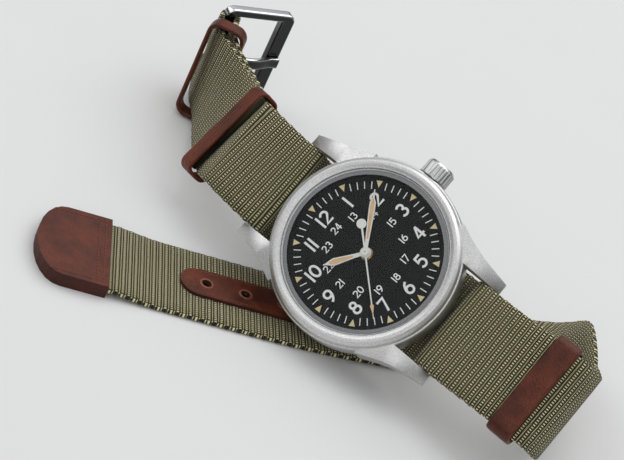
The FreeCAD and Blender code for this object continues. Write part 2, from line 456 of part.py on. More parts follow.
def strip(stations, width, thick, n_side=2):
    """A closed ribbon of flat triangles through stations of (centre, width direction, normal)."""
    rings = []
    for centre, w, n in stations:
        row = []
        for k in range(n_side + 1):
            row.append(centre + w * (width * (0.5 - k / n_side)) + n * (thick / 2))
        for k in range(n_side + 1):
            row.append(centre - w * (width * (0.5 - k / n_side)) - n * (thick / 2))
        rings.append(row)
    m = len(rings[0])
    faces = []

    def tri(a, b, c):
        faces.append(Part.Face(Part.makePolygon([a, b, c, a])))

    for r0, r1 in zip(rings, rings[1:]):
        for k in range(m):
            a, b, c2, d = r0[k], r0[(k + 1) % m], r1[(k + 1) % m], r1[k]
            tri(a, b, c2)
            tri(a, c2, d)
    for r, flip in ((rings[0], True), (rings[-1], False)):
        pts = r[::-1] if flip else r
        for k in range(n_side):
            # quads between the top row and the bottom row
            top0, top1 = r[k], r[k + 1]
            bot0, bot1 = r[m - 1 - k], r[m - 2 - k]
            tri(top0, top1, bot1)
            tri(top0, bot1, bot0)
    shell = Part.makeShell(faces)
    shell.sewShape()
    solid = Part.makeSolid(shell)
    if solid.Volume < 0:
        solid.reverse()
    return solid


def stations(points, widths, outward):
    """Frames along a polyline: the width direction is made square to the line, the normal points outwards."""
    out = []
    for i, p in enumerate(points):
        a, b = points[max(i - 1, 0)], points[min(i + 1, len(points) - 1)]
        t = unit(b - a)
        w = widths[i] - t * t.dot(widths[i])
        w = unit(w)
        n = unit(w.cross(t))
        if n.dot(outward[i]) < 0:
            n = n * -1
        out.append((p, w, n))
    return out


def smooth(pts, per):
    """Catmull-Rom through (point, width, outward) triples."""
    out = []
    for i in range(len(pts) - 1):
        quad = [pts[max(i - 1, 0)], pts[i], pts[i + 1], pts[min(i + 2, len(pts) - 1)]]
        for k in range(per):
            t = k / per
            row = []
            for j in range(3):
                p0, p1, p2, p3 = (q[j] for q in quad)
                row.append((p1 * 2 + (p2 - p0) * t + (p0 * 2 - p1 * 5 + p2 * 4 - p3) * (t * t) + (p1 * 3 - p0 - p2 * 3 + p3) * (t * t * t)) * 0.5)
            out.append(row)
    out.append(list(pts[-1]))
    return out


W3 = AY                       # 9 to 3 o'clock
UP = V(0, 0, 1)
LAYER = WEB_T + 0.06          # centre to centre of two webbing layers
BAR_POST = V(HEAD.x - 63.3, HEAD.y + 32.9, 0)  # buckle bar, an upright line
BUCKLE_DIR = unit(V(0.508, 0.861, 0))
BUCKLE_LOW = 0.2              # the frame's lower rail over the table
BAR_MID = 11.9                # height of the strap's middle at the bar

# main webbing from the 12 o'clock side bend to the head, the underside pass, and out to 6 o'clock
def local(x, z, y=0.0):
    return place(x, y, z)


near_12 = [local(-35.85, -3.2, 1.15), local(-31.5, -2.25, 0.65), local(-27.5, -1.95, 0.3), local(-24.5, -2.0, 0.1), local(-21.8, -2.28), local(-20.62, -2.8), local(-20.18, -3.9), local(-20.1, -5.2),
           local(-19.0, -6.7), local(-17.0, -7.55), local(-14.0, -7.75), local(-7.0, -7.75), local(0, -7.75)]
near_6 = [local(7.0, -7.75), local(14.0, -7.75), local(17.0, -7.55), local(19.0, -6.7), local(20.1, -5.2), local(20.18, -3.9), local(20.62, -2.8), local(21.8, -2.28), local(24.5, -1.85), local(28.0, -1.5),
          local(33.0, -1.15, 0.1), local(38.5, -0.95, 0.25), local(44.0, -1.1, 0.3)]
head_pts = [(p, W3, AZ) for p in near_12 + near_6]

# the bend from the head side to the buckle bar, as a ribbon that bends, twists and shears a little, then back over itself
BEND_START = 0.9467
BEND_LENGTH = 41.728
BEND = [0.0436, -0.0356, -0.0244, 0.0249, 0.0323]         # 1/mm, at five even knots
TWIST = [0.0183, -0.0049, -0.0258, -0.0251, 0.009]
SHEAR = [0.0345, 0.0092, 0.0212, 0.0016, -0.0091]


def knot(values, x):
    j = min(int(x * 4), 3)
    f = x * 4 - j
    return values[j] * (1 - f) + values[j + 1] * f


p, t = near_12[0], unit(AX * -cos(BEND_START) - AZ * sin(BEND_START))
w = V(W3)
n = unit(w.cross(t))
if n.dot(AZ) < 0:
    n = n * -1
inner_frames = [(p, w, n)]
STEPS = 48
ds = BEND_LENGTH / STEPS
for i in range(STEPS):
    x = (i + 0.5) / STEPS
    p = p + t * ds
    t, n = unit(t + (n * -knot(BEND, x) + w * knot(SHEAR, x)) * ds), n + (t * knot(BEND, x) + w * knot(TWIST, x)) * ds
    n = unit(n - t * n.dot(t))
    w2 = n.cross(t)
    w = w2 if w2.dot(w) > 0 else w2 * -1
    if (i + 1) % 3 == 0:
        inner_frames.append((p, w, n))
n_bar = unit(V(n.x, n.y, 0))         # outer face at the bar
STRAP_END = unit(V(-n_bar.y, n_bar.x, 0))
if STRAP_END.dot(t) < 0:
    STRAP_END = STRAP_END * -1
bar_centre = V(BAR_POST.x, BAR_POST.y, BAR_MID)
reach = BUCKLE_BAR_R + 0.06 + WEB_T / 2
inner_frames[-1] = (bar_centre - n_bar * reach, UP, n_bar)
wrap = []
for k in range(1, 8):
    a = math.pi * k / 8
    wrap.append((bar_centre + n_bar * (-reach * cos(a)) + STRAP_END * (reach * sin(a)), UP, n_bar * -cos(a) + STRAP_END * sin(a)))
outer = []
for i, (p, w, n) in enumerate(inner_frames):
    t = i / 16.0
    open_up = min(1.0, max(0.0, (t - 0.68) / 0.255))
    off = LAYER + (2 * reach - LAYER) * open_up * open_up * (3 - 2 * open_up)
    if i >= 2:
        outer.append((p + n * off, w, n))

# tail: from the 6 o'clock keeper round behind the head and back under it
TAIL_DIR = V(-0.766, -0.643, 0)
TAIL_W = V(-0.643, 0.766, 0)
TAIL_OFF = 0.3
TAIL_Z = WEB_T / 2


def tail_at(s, z, sway=False):
    """A point of the tail's middle, s forwards along it from under the head. It sways off a straight line behind the head."""
    side = 0.0035 * max(0.0, 12.0 - s) ** 2 if sway else 0.0
    return V(HEAD.x, HEAD.y, 0) + TAIL_W * (TAIL_OFF + side) + TAIL_DIR * s + V(0, 0, z)


TAIL_TIP = 59.7
LOOP_A, LOOP_B, LOOP_C = 9.0, 16.0, 0.0      # how far the loop runs on at its two ends
curl = [(local(45.2, -1.45, 0.3), W3, AZ), (local(46.7, -2.6, 0.3), W3, AZ), (local(47.7, -4.6, 0.3), W3, AZ), (local(48.1, -7.0, 0.3), W3, AZ)]
loop_start = curl[-1][0]
loop_end = tail_at(-36, TAIL_Z, True)
loop = []
for k in range(1, 18):
    t = k / 18.0
    p = bezier(loop_start, loop_start + AZ * -LOOP_A + AX * 0.6, loop_end - TAIL_DIR * LOOP_B - TAIL_W * LOOP_C + V(0, 0, 1.0), loop_end, t)
    e = t * t * (3 - 2 * t)
    w = unit(W3 * (1 - e) + TAIL_W * e)
    loop.append((p, w, V(0, 0, 1)))
tail = [(tail_at(sx, TAIL_Z + z, True), TAIL_W, V(0, 0, 1)) for sx, z in ((-36, 0), (-29, 0), (-22, 0), (-15, 0), (-8, 0), (-1, 0), (6, 0), (12, 0), (24, 0), (35, 0), (39, 0.3), (43, 0.75), (44.5, 0.8), (48, 0.8), (TAIL_TIP - 8, 0.8))]

path = outer + wrap[::-1] + inner_frames[::-1]
head_smooth = smooth(head_pts, 3)
head_frames = stations([q[0] for q in head_smooth], [q[1] for q in head_smooth], [q[2] for q in head_smooth])


def ordered(frames):
    """Carry the normal along without flips, starting from the first one."""
    out = [frames[0]]
    for i in range(1, len(frames)):
        p, w, n = frames[i]
        a, b = frames[i - 1][0], frames[min(i + 1, len(frames) - 1)][0]
        t = unit(b - a)
        w = unit(w - t * t.dot(w))
        m = unit(w.cross(t))
        if m.dot(out[-1][2]) < 0:
            m = m * -1
        out.append((p, w, m))
    return out


whole = path + [(head_frames[i][0], head_frames[i][1], head_frames[i][2]) for i in range(1, len(head_frames))] + curl + loop + tail
whole = ordered(whole)
lifted = []
for p, w, n in whole:                # no edge of the ribbon goes through the table
    low = abs(w.z) * WEB_W / 2 + abs(n.z) * WEB_T / 2
    lifted.append((V(p.x, p.y, max(p.z, low)), w, n))
whole = lifted
webbing = strip(whole, WEB_W, WEB_T)
# slot for the tongue where the webbing turns round the bar
slot = Part.makeBox(7.4, 5.4, 3.8, V(-3.6, -2.7, BAR_MID - 1.9))
slot.rotate(V(0, 0, 0), V(0, 0, 1), math.degrees(math.atan2(STRAP_END.y, STRAP_END.x)))
slot.translate(V(BAR_POST.x, BAR_POST.y, 0) + STRAP_END * 0.9)
webbing = webbing.cut(slot)
# sizing holes through the tail and its leather
hole_at = [25.7 - 8.0 * k for k in range(5)]
hole_cuts = [Part.makeCylinder(1.0, 6, tail_at(h, -2.0)) for h in hole_at]
webbing = webbing.cut(Part.makeCompound(hole_cuts))
parts["strap_webbing"] = webbing

# second layer: sewn to the underside near the buckle, it passes under the head to the 6 o'clock keeper
flap_pts = [(local(-33.2, -2.6 - LAYER - 0.1, 0.75), W3, AZ), (local(-30.5, -3.7, 0.5), W3, AZ), (local(-27.0, -4.9, 0.2), W3, AZ), (local(-23.0, -7.0), W3, AZ), (local(-19.5, -8.55), W3, AZ),
            (local(-15.5, -9.12), W3, AZ), (local(-7.0, -9.14), W3, AZ), (local(7.0, -9.14), W3, AZ), (local(15.5, -9.12), W3, AZ), (local(19.5, -8.55), W3, AZ), (local(23.0, -7.0), W3, AZ),
            (local(28.0, -4.4), W3, AZ), (local(33.0, -2.7, 0.1), W3, AZ), (local(38.5, -0.95 - LAYER - 0.03, 0.25), W3, AZ), (local(43.6, -1.08 - LAYER - 0.03, 0.3), W3, AZ)]
fs = smooth(flap_pts, 2)
parts["strap_flap"] = strip(stations([q[0] for q in fs], [q[1] for q in fs], [q[2] for q in fs]), WEB_W, WEB_T)


# ---------------------------------------------------------------- leather keepers, tip and hole strip
def keeper(centre, w, n, t, wide, high, band, thick, corner):
    """A loop of leather round the strap: a rounded rectangle, bent from a band."""
    def outline(dw, dh, r):
        hw, hh = wide / 2 + dw, high / 2 + dh
        pts = []
        for cxs, cys, a0 in ((1, 1, 0), (-1, 1, 90), (-1, -1, 180), (1, -1, 270)):
            for k in range(7):
                a = rad(a0 + 15 * k)
                pts.append(centre + w * (cxs * (hw - r) + r * cos(a)) + n * (cys * (hh - r) + r * sin(a)) - t * (band / 2))
        return Part.Face(Part.makePolygon(pts + [pts[0]]))
    out = outline(0, 0, corner).extrude(t * band)
    hole = outline(-thick, -thick, max(corner - thick, 0.25)).extrude(t * (band + 2))
    hole.translate(t * -1.0)
    return out.cut(hole)


k1 = inner_frames[3]
t1 = unit(inner_frames[4][0] - inner_frames[2][0])
w1 = unit(k1[1] + t1 * 0.16)
t1 = unit(t1 - w1 * t1.dot(w1))
n1 = w1.cross(t1)
if n1.dot(k1[2]) < 0:
    n1 = n1 * -1
KEEPER_1 = k1[0] + k1[2] * (LAYER / 2 + 0.1) - t1 * 0.4
KEEPER_1_TILT = 0.45      # this keeper rides up over the bend, so its band leans
t1, n1 = t1 * cos(KEEPER_1_TILT) + n1 * sin(KEEPER_1_TILT), n1 * cos(KEEPER_1_TILT) - t1 * sin(KEEPER_1_TILT)
parts["keeper_buckle_side"] = keeper(KEEPER_1, w1, n1, t1, 23.0, 6.8, 4.0, 0.8, 1.9)
k2 = inner_frames[13]
t2 = unit(inner_frames[14][0] - inner_frames[12][0])
w2 = unit(k2[1] + t2 * 0.12)
t2 = unit(t2 - w2 * t2.dot(w2))
n2 = w2.cross(t2)
if n2.dot(k2[2]) < 0:
    n2 = n2 * -1
KEEPER_2 = k2[0] + k2[2] * 1.3 + UP * 0.3
parts["keeper_at_buckle"] = keeper(KEEPER_2, w2, n2, t2, 23.2, 7.2, 3.6, 0.8, 2.6)
KEEPER_3 = place(41.4, 0.28, -1.72)
parts["keeper_flap_end"] = keeper(KEEPER_3, W3, AZ, AX, 22.2, 5.9, 5.2, LEATHER, 2.0)

tip_s0, tip_s1 = TAIL_TIP - 14.4, TAIL_TIP


def tail_plate(s0, s1, half, z0, z1, round_end=None):
    pts = [(s0, -half), (s1 - (half if round_end == "tip" else 0), -half)]
    if round_end == "tip":
        for k in range(13):
            a = rad(-90 + 15 * k)
            pts.append((s1 - half * 0.55 + half * 0.55 * cos(a), half * sin(a)))
        pts[1] = (s1 - half * 0.55, -half)
    pts.append((s1 - (half * 0.55 if round_end == "tip" else 0), half))
    if round_end == "start":
        pts = [(s1 - half * cos(rad(a)) * -1 - half, half * sin(rad(a))) for a in range(-90, 91, 15)]
        pts += [(s0 + half - half * cos(rad(a)), -half * sin(rad(a))) for a in range(-90, 91, 15)]
    else:
        pts.append((s0, half))
    clean = []
    for q in pts:
        if not clean or math.hypot(q[0] - clean[-1][0], q[1] - clean[-1][1]) > 1e-6:
            clean.append(q)
    if math.hypot(clean[0][0] - clean[-1][0], clean[0][1] - clean[-1][1]) < 1e-6:
        clean.pop()
    base = [tail_at(a, z0) + TAIL_W * b for a, b in clean]
    return Part.Face(Part.makePolygon(base + [base[0]])).extrude(V(0, 0, z1 - z0))


tip = tail_plate(tip_s0, tip_s1, WEB_W / 2 + 0.25, 0.0, 2.9, "tip")
pocket = Part.Face(Part.makePolygon([tail_at(a, 0.75) + TAIL_W * b for a, b in ((tip_s0 - 1, -9.97), (TAIL_TIP - 7.9, -9.97), (TAIL_TIP - 7.9, 9.97), (tip_s0 - 1, 9.97), (tip_s0 - 1, -9.97))])).extrude(V(0, 0, 1.4))
tip = tip.cut(pocket)
parts["strap_tip"] = tip
strip_plate = tail_plate(-11.0, 31.0, 3.8, WEB_T + 0.02, WEB_T + 0.67, "start")
parts["hole_strip"] = strip_plate.cut(Part.makeCompound(hole_cuts))

# ================================================================= buckle
bd, bn = BUCKLE_DIR, unit(V(0.861, -0.508, 0))


def buckle_pt(u, h, n=0.0):
    """u from the bar axis towards the far side, h height, n out of the frame's plane."""
    return V(BAR_POST.x, BAR_POST.y, 0) + bd * u + V(0, 0, h) + bn * n


def buckle_box(u0, u1, h0, h1, n0, n1):
    pts = [buckle_pt(u0, h0, n0), buckle_pt(u1, h0, n0), buckle_pt(u1, h0, n1), buckle_pt(u0, h0, n1)]
    return Part.Face(Part.makePolygon(pts + [pts[0]])).extrude(V(0, 0, h1 - h0))


UB = -1.5                       # bar side end of the frame
frame_out = buckle_box(UB, UB + BUCKLE_D, BUCKLE_LOW, BUCKLE_H, -1.1, 1.1)
vertical = [e for e in frame_out.Edges if abs(unit(e.Vertexes[1].Point - e.Vertexes[0].Point).dot(bn)) > 0.99]
frame_out = frame_out.makeFillet(1.9, vertical)
window = buckle_box(UB - 3, UB + BUCKLE_D - 3.0, BAR_MID - WEB_W / 2 - 0.15, BAR_MID + WEB_W / 2 + 0.15, -3, 3)
wv = [e for e in window.Edges if abs(unit(e.Vertexes[1].Point - e.Vertexes[0].Point).dot(bn)) > 0.99]
frame_b = frame_out.cut(window)
soft = [e for e in frame_b.Edges if e.Length > 6 and abs(unit(e.Vertexes[-1].Point - e.Vertexes[0].Point).dot(bn)) < 0.1]
try:
    rounded = frame_b.makeFillet(0.45, soft)
    frame_b = rounded if rounded.isValid() and rounded.Volume > 0 else frame_b
except Exception:
    pass
frame_b = frame_b.cut(Part.makeCylinder(0.62, BUCKLE_H - 1.2, V(BAR_POST.x, BAR_POST.y, 0.6)))
parts["buckle_frame"] = frame_b
bar = Part.makeCylinder(0.61, BUCKLE_H - 1.2, V(BAR_POST.x, BAR_POST.y, 0.6)).fuse(Part.makeCylinder(BUCKLE_BAR_R, 2 * (BAR_MID - 1.95), V(BAR_POST.x, BAR_POST.y, 1.95)))
parts["buckle_bar"] = bar.removeSplitter()

# tongue: an eye round the bar and an arched prong that lands on the far side of the frame
TH = 1.2
arch = [(0.9, 0.0), (2.0, 0.9), (4.0, 2.3), (6.5, 3.1), (9.0, 3.0), (11.2, 2.3), (12.6, 1.75), (14.6, 1.75)]


def arc_side(off):
    out = []
    for i, (u, n) in enumerate(arch):
        a, b = arch[max(i - 1, 0)], arch[min(i + 1, len(arch) - 1)]
        tx, ty = b[0] - a[0], b[1] - a[1]
        m = math.hypot(tx, ty)
        out.append((u - ty / m * off, n + tx / m * off))
    return out


outline = arc_side(0.55) + arc_side(-0.55)[::-1]
pts = [buckle_pt(u, BAR_MID - TH, n) for u, n in outline]
tongue = Part.Face(Part.makePolygon(pts + [pts[0]])).extrude(V(0, 0, 2 * TH))
eye = Part.makeCylinder(1.55, 2 * TH, V(BAR_POST.x, BAR_POST.y, BAR_MID - TH))
tongue = tongue.fuse(eye).cut(Part.makeCylinder(BUCKLE_BAR_R + 0.05, 8, V(BAR_POST.x, BAR_POST.y, BAR_MID - 4)))
parts["buckle_tongue"] = tongue.removeSplitter()

# ---------------------------------------------------------------- write the pieces
lo, hi = V(1e9, 1e9, 1e9), V(-1e9, -1e9, -1e9)
for name, shape in parts.items():
    b = shape.BoundBox
    lo = V(min(lo.x, b.XMin), min(lo.y, b.YMin), min(lo.z, b.ZMin))
    hi = V(max(hi.x, b.XMax), max(hi.y, b.YMax), max(hi.z, b.ZMax))
    ok = shape.isValid() and all(sol.Volume > 0 for sol in shape.Solids) and len(shape.Solids) > 0
    if not ok:
        print("CHECK", name, shape.isValid(), [round(sol.Volume, 3) for sol in shape.Solids])
    shape.exportStep("parts/%s.step" % name)
print(len(parts), "pieces; box", [round(v, 2) for v in (lo.x, lo.y, lo.z, hi.x, hi.y, hi.z)], "middle", round((lo.x + hi.x) / 2, 3), round((lo.y + hi.y) / 2, 3))
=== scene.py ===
import bpy, bmesh, math, json
from mathutils import Vector, Matrix


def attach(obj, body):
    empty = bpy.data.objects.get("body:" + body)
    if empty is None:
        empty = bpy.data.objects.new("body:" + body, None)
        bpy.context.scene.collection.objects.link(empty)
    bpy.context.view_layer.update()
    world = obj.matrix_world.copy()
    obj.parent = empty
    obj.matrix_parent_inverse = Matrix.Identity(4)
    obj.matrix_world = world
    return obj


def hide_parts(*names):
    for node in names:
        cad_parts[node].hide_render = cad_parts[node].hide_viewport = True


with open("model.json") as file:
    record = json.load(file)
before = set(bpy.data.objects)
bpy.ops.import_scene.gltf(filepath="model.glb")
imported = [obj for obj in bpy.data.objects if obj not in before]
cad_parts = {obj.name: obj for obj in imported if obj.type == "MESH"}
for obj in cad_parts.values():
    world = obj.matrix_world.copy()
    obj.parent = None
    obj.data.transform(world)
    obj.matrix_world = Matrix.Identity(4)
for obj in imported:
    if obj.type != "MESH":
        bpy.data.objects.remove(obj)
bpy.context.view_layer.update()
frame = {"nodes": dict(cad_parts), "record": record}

MM = 0.001
sin, cos, rad, pi = math.sin, math.cos, math.radians, math.pi
record = frame["record"]
joints = {j["name"]: j for j in record["behaviour"]["joints"]}
ROOT = "case_and_strap"

# ---------------------------------------------------------------- the head's own frame, from the record
HEAD = Vector(joints["minute_hand_turn"]["pos_m"]) / MM
AZ = -Vector(joints["minute_hand_turn"]["axis"]).normalized()
AX = Vector((1, 0, 0))
AY = AZ.cross(AX).normalized()
BAR = Vector(joints["buckle_swing"]["pos_m"]) / MM


def place(x, y, z):
    """Head frame in mm: x to 6 o'clock, y to 3 o'clock, z out of the dial."""
    return HEAD + AX * x + AY * y + AZ * z


def lin(r, g, b, a=1.0):
    def f(v):
        v = v / 255.0
        return v / 12.92 if v <= 0.04045 else ((v + 0.055) / 1.055) ** 2.4
    return (f(r), f(g), f(b), a)


# ================================================================= materials
class Nodes:
    """Small helper to write a node tree."""
    def __init__(self, name):
        self.mat = bpy.data.materials.new(name)
        self.mat.use_nodes = True
        self.t = self.mat.node_tree
        self.bsdf = self.t.nodes["Principled BSDF"]
        self.out = self.t.nodes["Material Output"]

    def new(self, kind, **kw):
        n = self.t.nodes.new(kind)
        for k, v in kw.items():
            setattr(n, k, v)
        return n

    def link(self, a, b):
        self.t.links.new(a, b)

    def val(self, sock, v):
        if hasattr(v, "is_output") or isinstance(v, bpy.types.NodeSocket):
            self.link(v, sock)
        else:
            sock.default_value = v

    def math(self, op, a, b=0.0, c=0.0, clamp=False):
        n = self.new("ShaderNodeMath", operation=op, use_clamp=clamp)
        self.val(n.inputs[0], a)
        self.val(n.inputs[1], b)
        if len(n.inputs) > 2:
            self.val(n.inputs[2], c)
        return n.outputs[0]

    def mix(self, fac, a, b):
        n = self.new("ShaderNodeMix", data_type="RGBA")
        self.val(n.inputs[0], fac)
        self.val(n.inputs[6], a)
        self.val(n.inputs[7], b)
        return n.outputs[2]

    def noise(self, scale, detail=4.0, rough=0.5, vector=None, dim="3D"):
        n = self.new("ShaderNodeTexNoise", noise_dimensions=dim)
        n.inputs["Scale"].default_value = scale
        n.inputs["Detail"].default_value = detail
        n.inputs["Roughness"].default_value = rough
        if vector is not None:
            self.link(vector, n.inputs["Vector"])
        return n.outputs["Fac"]

    def ramp(self, fac, stops):
        n = self.new("ShaderNodeValToRGB")
        el = n.color_ramp.elements
        while len(el) < len(stops):
            el.new(0.5)
        for e, (p, c) in zip(el, stops):
            e.position = p
            e.color = c
        self.val(n.inputs[0], fac)
        return n.outputs[0]

    def range(self, v, a, b, c, d):
        n = self.new("ShaderNodeMapRange")
        self.val(n.inputs[0], v)
        for i, x in zip((1, 2, 3, 4), (a, b, c, d)):
            n.inputs[i].default_value = x
        return n.outputs[0]

    def bump(self, height, dist, strength=1.0, normal=None):
        n = self.new("ShaderNodeBump")
        n.inputs["Strength"].default_value = strength
        n.inputs["Distance"].default_value = dist
        self.link(height, n.inputs["Height"])
        if normal is not None:
            self.link(normal, n.inputs["Normal"])
        return n.outputs["Normal"]

    def pos(self):
        return self.new("ShaderNodeTexCoord").outputs["Object"]

    def set(self, **kw):
        for k, v in kw.items():
            self.val(self.bsdf.inputs[k.replace("_", " ")], v)


def steel(name, color, rough, grain, dist, metallic=1.0, speck=0.0, flank_painted_reflection=0.0):
    m = Nodes(name)
    p = m.pos()
    fine = m.noise(grain, 3.0, 0.6, p)
    broad = m.noise(90.0, 3.0, 0.5, p)
    m.set(Metallic=metallic)
    col = m.mix(m.range(broad, 0.3, 0.7, 0.0, 1.0), [c * 0.93 for c in color[:3]] + [1], list(color[:3]) + [1])
    if speck:
        dots = m.noise(grain * 1.3, 2.0, 0.6, p)
        col = m.mix(m.range(dots, 0.42, 0.60, speck, 0.0), col, [c * 0.45 for c in color[:3]] + [1])
    if flank_painted_reflection:
        # painted reflection: steep faces get a darker base colour, standing for polished flanks that pick up the dark
        # lower half of a studio
        up = m.new("ShaderNodeSeparateXYZ")
        m.link(m.new("ShaderNodeNewGeometry").outputs["Normal"], up.inputs[0])
        col = m.mix(m.range(m.math("ABSOLUTE", up.outputs[2]), 0.08, 0.62, flank_painted_reflection, 0.0), col, [c * 0.014 for c in color[:3]] + [1])
    m.link(col, m.bsdf.inputs["Base Color"])
    m.link(m.range(m.math("ADD", m.math("MULTIPLY", fine, 0.6), m.math("MULTIPLY", broad, 0.4)), 0.3, 0.7, rough * 0.88, rough * 1.12), m.bsdf.inputs["Roughness"])
    if dist:
        m.link(m.bump(fine, dist, 0.8), m.bsdf.inputs["Normal"])
    return m.mat


M = {}
M["blasted"] = steel("blasted_steel_surface", (0.80, 0.80, 0.79), 0.42, 5000.0, 0.00004, speck=0.52)
M["crown"] = steel("crown_surface", (0.66, 0.66, 0.655), 0.30, 7000.0, 0.00001, speck=0.3, flank_painted_reflection=0.45)
M["polished"] = steel("polished_steel_surface", (0.80, 0.80, 0.81), 0.12, 2500.0, 0.000002, flank_painted_reflection=0.96)
# painted reflection: the flange steel gets a dark base colour that stands for the dark reflection ring round the
# crystal
M["flange"] = steel("flange_painted_dark_reflection", (0.30, 0.30, 0.31), 0.22, 2500.0, 0.000002, flank_painted_reflection=0.5)
M["inner_steel"] = steel("movement_steel_surface", (0.55, 0.55, 0.57), 0.22, 3500.0, 0.000004)
M["plate"] = steel("plate_surface", (0.72, 0.68, 0.60), 0.30, 3500.0, 0.000006)
M["brass"] = steel("train_brass_surface", (0.76, 0.56, 0.26), 0.24, 3500.0, 0.000004)


def plain(name, color, rough, grain=2500.0, dist=0.000008, spread=0.10, **kw):
    m = Nodes(name)
    p = m.pos()
    fine = m.noise(grain, 4.0, 0.55, p)
    broad = m.noise(grain / 12.0, 3.0, 0.5, p)
    dark = [c * (1 - spread) for c in color[:3]] + [1]
    light = [min(1, c * (1 + spread)) for c in color[:3]] + [1]
    m.link(m.mix(m.range(broad, 0.3, 0.7, 0, 1), dark, light), m.bsdf.inputs["Base Color"])
    m.link(m.range(fine, 0.3, 0.7, rough * 0.88, min(1, rough * 1.12)), m.bsdf.inputs["Roughness"])
    m.link(m.bump(fine, dist, 0.7), m.bsdf.inputs["Normal"])
    m.set(**kw)
    return m.mat


M["dial"] = plain("dial_surface", lin(12, 12, 13), 0.75, 6000.0, 0.0000015, Specular_IOR_Level=0.2)
M["print"] = plain("dial_print", lin(254, 254, 252), 0.5, 3000.0, 0.000003, 0.02)
M["hand"] = plain("hand_paint", lin(252, 251, 246), 0.34, 3000.0, 0.000002, 0.03)
M["lume"] = plain("luminous_paint", lin(240, 200, 150), 0.65, 7000.0, 0.000012, 0.08)
M["lume_dial"] = plain("luminous_paint_dial", lin(240, 222, 172), 0.65, 7000.0, 0.000012, 0.08)
M["gasket"] = plain("gasket_rubber", lin(24, 24, 24), 0.7)
M["ruby"] = plain("ruby_surface", (0.45, 0.02, 0.08, 1), 0.12)
M["thread"] = plain("thread", lin(112, 52, 32), 0.7, 9000.0, 0.00002, 0.2)


def glass():
    m = Nodes("sapphire_surface")
    t = m.t
    t.nodes.remove(m.bsdf)
    clear = m.new("ShaderNodeBsdfTransparent")
    clear.inputs[0].default_value = (0.985, 0.99, 0.99, 1)
    gloss = m.new("ShaderNodeBsdfGlossy")
    gloss.inputs["Roughness"].default_value = 0.03
    gloss.inputs["Color"].default_value = (1, 1, 1, 1)
    fres = m.new("ShaderNodeFresnel")
    fres.inputs["IOR"].default_value = 1.35
    wear = m.noise(400.0, 2.0, 0.5, m.pos())
    f = m.math("MULTIPLY", fres.outputs[0], m.range(wear, 0.3, 0.7, 0.45, 0.6))
    mix = m.new("ShaderNodeMixShader")
    m.link(f, mix.inputs[0])
    m.link(clear.outputs[0], mix.inputs[1])
    m.link(gloss.outputs[0], mix.inputs[2])
    m.link(mix.outputs[0], m.out.inputs[0])
    return m.mat


M["glass"] = glass()


def leather(name, base, dark, rough=0.36, raw=False):
    m = Nodes(name)
    p = m.pos()
    grain = m.new("ShaderNodeTexVoronoi", feature="DISTANCE_TO_EDGE")
    grain.inputs["Scale"].default_value = 1900.0
    m.link(p, grain.inputs["Vector"])
    fine = m.noise(3500.0, 5.0, 0.6, p)
    broad = m.noise(160.0, 4.0, 0.6, p)
    crease = m.range(grain.outputs["Distance"], 0.0, 0.12, 0.0, 1.0)
    col = m.mix(m.range(broad, 0.32, 0.68, 0.0, 1.0), dark, base)
    col = m.mix(m.math("MULTIPLY", m.math("SUBTRACT", 1.0, crease), 0.6), col, [c * 0.5 for c in dark[:3]] + [1])
    m.link(col, m.bsdf.inputs["Base Color"])
    m.link(m.range(m.math("ADD", m.math("MULTIPLY", broad, 0.6), m.math("MULTIPLY", fine, 0.4)), 0.3, 0.7, rough * 0.8, min(1.0, rough * 1.3)), m.bsdf.inputs["Roughness"])
    h = m.math("ADD", m.math("MULTIPLY", crease, 0.7), m.math("MULTIPLY", fine, 0.5))
    m.link(m.bump(h, 0.00003 if not raw else 0.00006, 0.8), m.bsdf.inputs["Normal"])
    m.set(Specular_IOR_Level=0.28)
    return m.mat


M["leather"] = leather("leather_surface", lin(112, 52, 30), lin(64, 25, 14))
M["leather_edge"] = leather("leather_cut_edge", lin(92, 44, 34), lin(58, 30, 26), 0.6, True)
# painted highlight: the hole rims get a lighter leather that stands for the light edge of each hole
M["leather_rim_painted_highlight"] = leather("leather_rim_painted_highlight", lin(150, 92, 72), lin(120, 64, 48), 0.22)


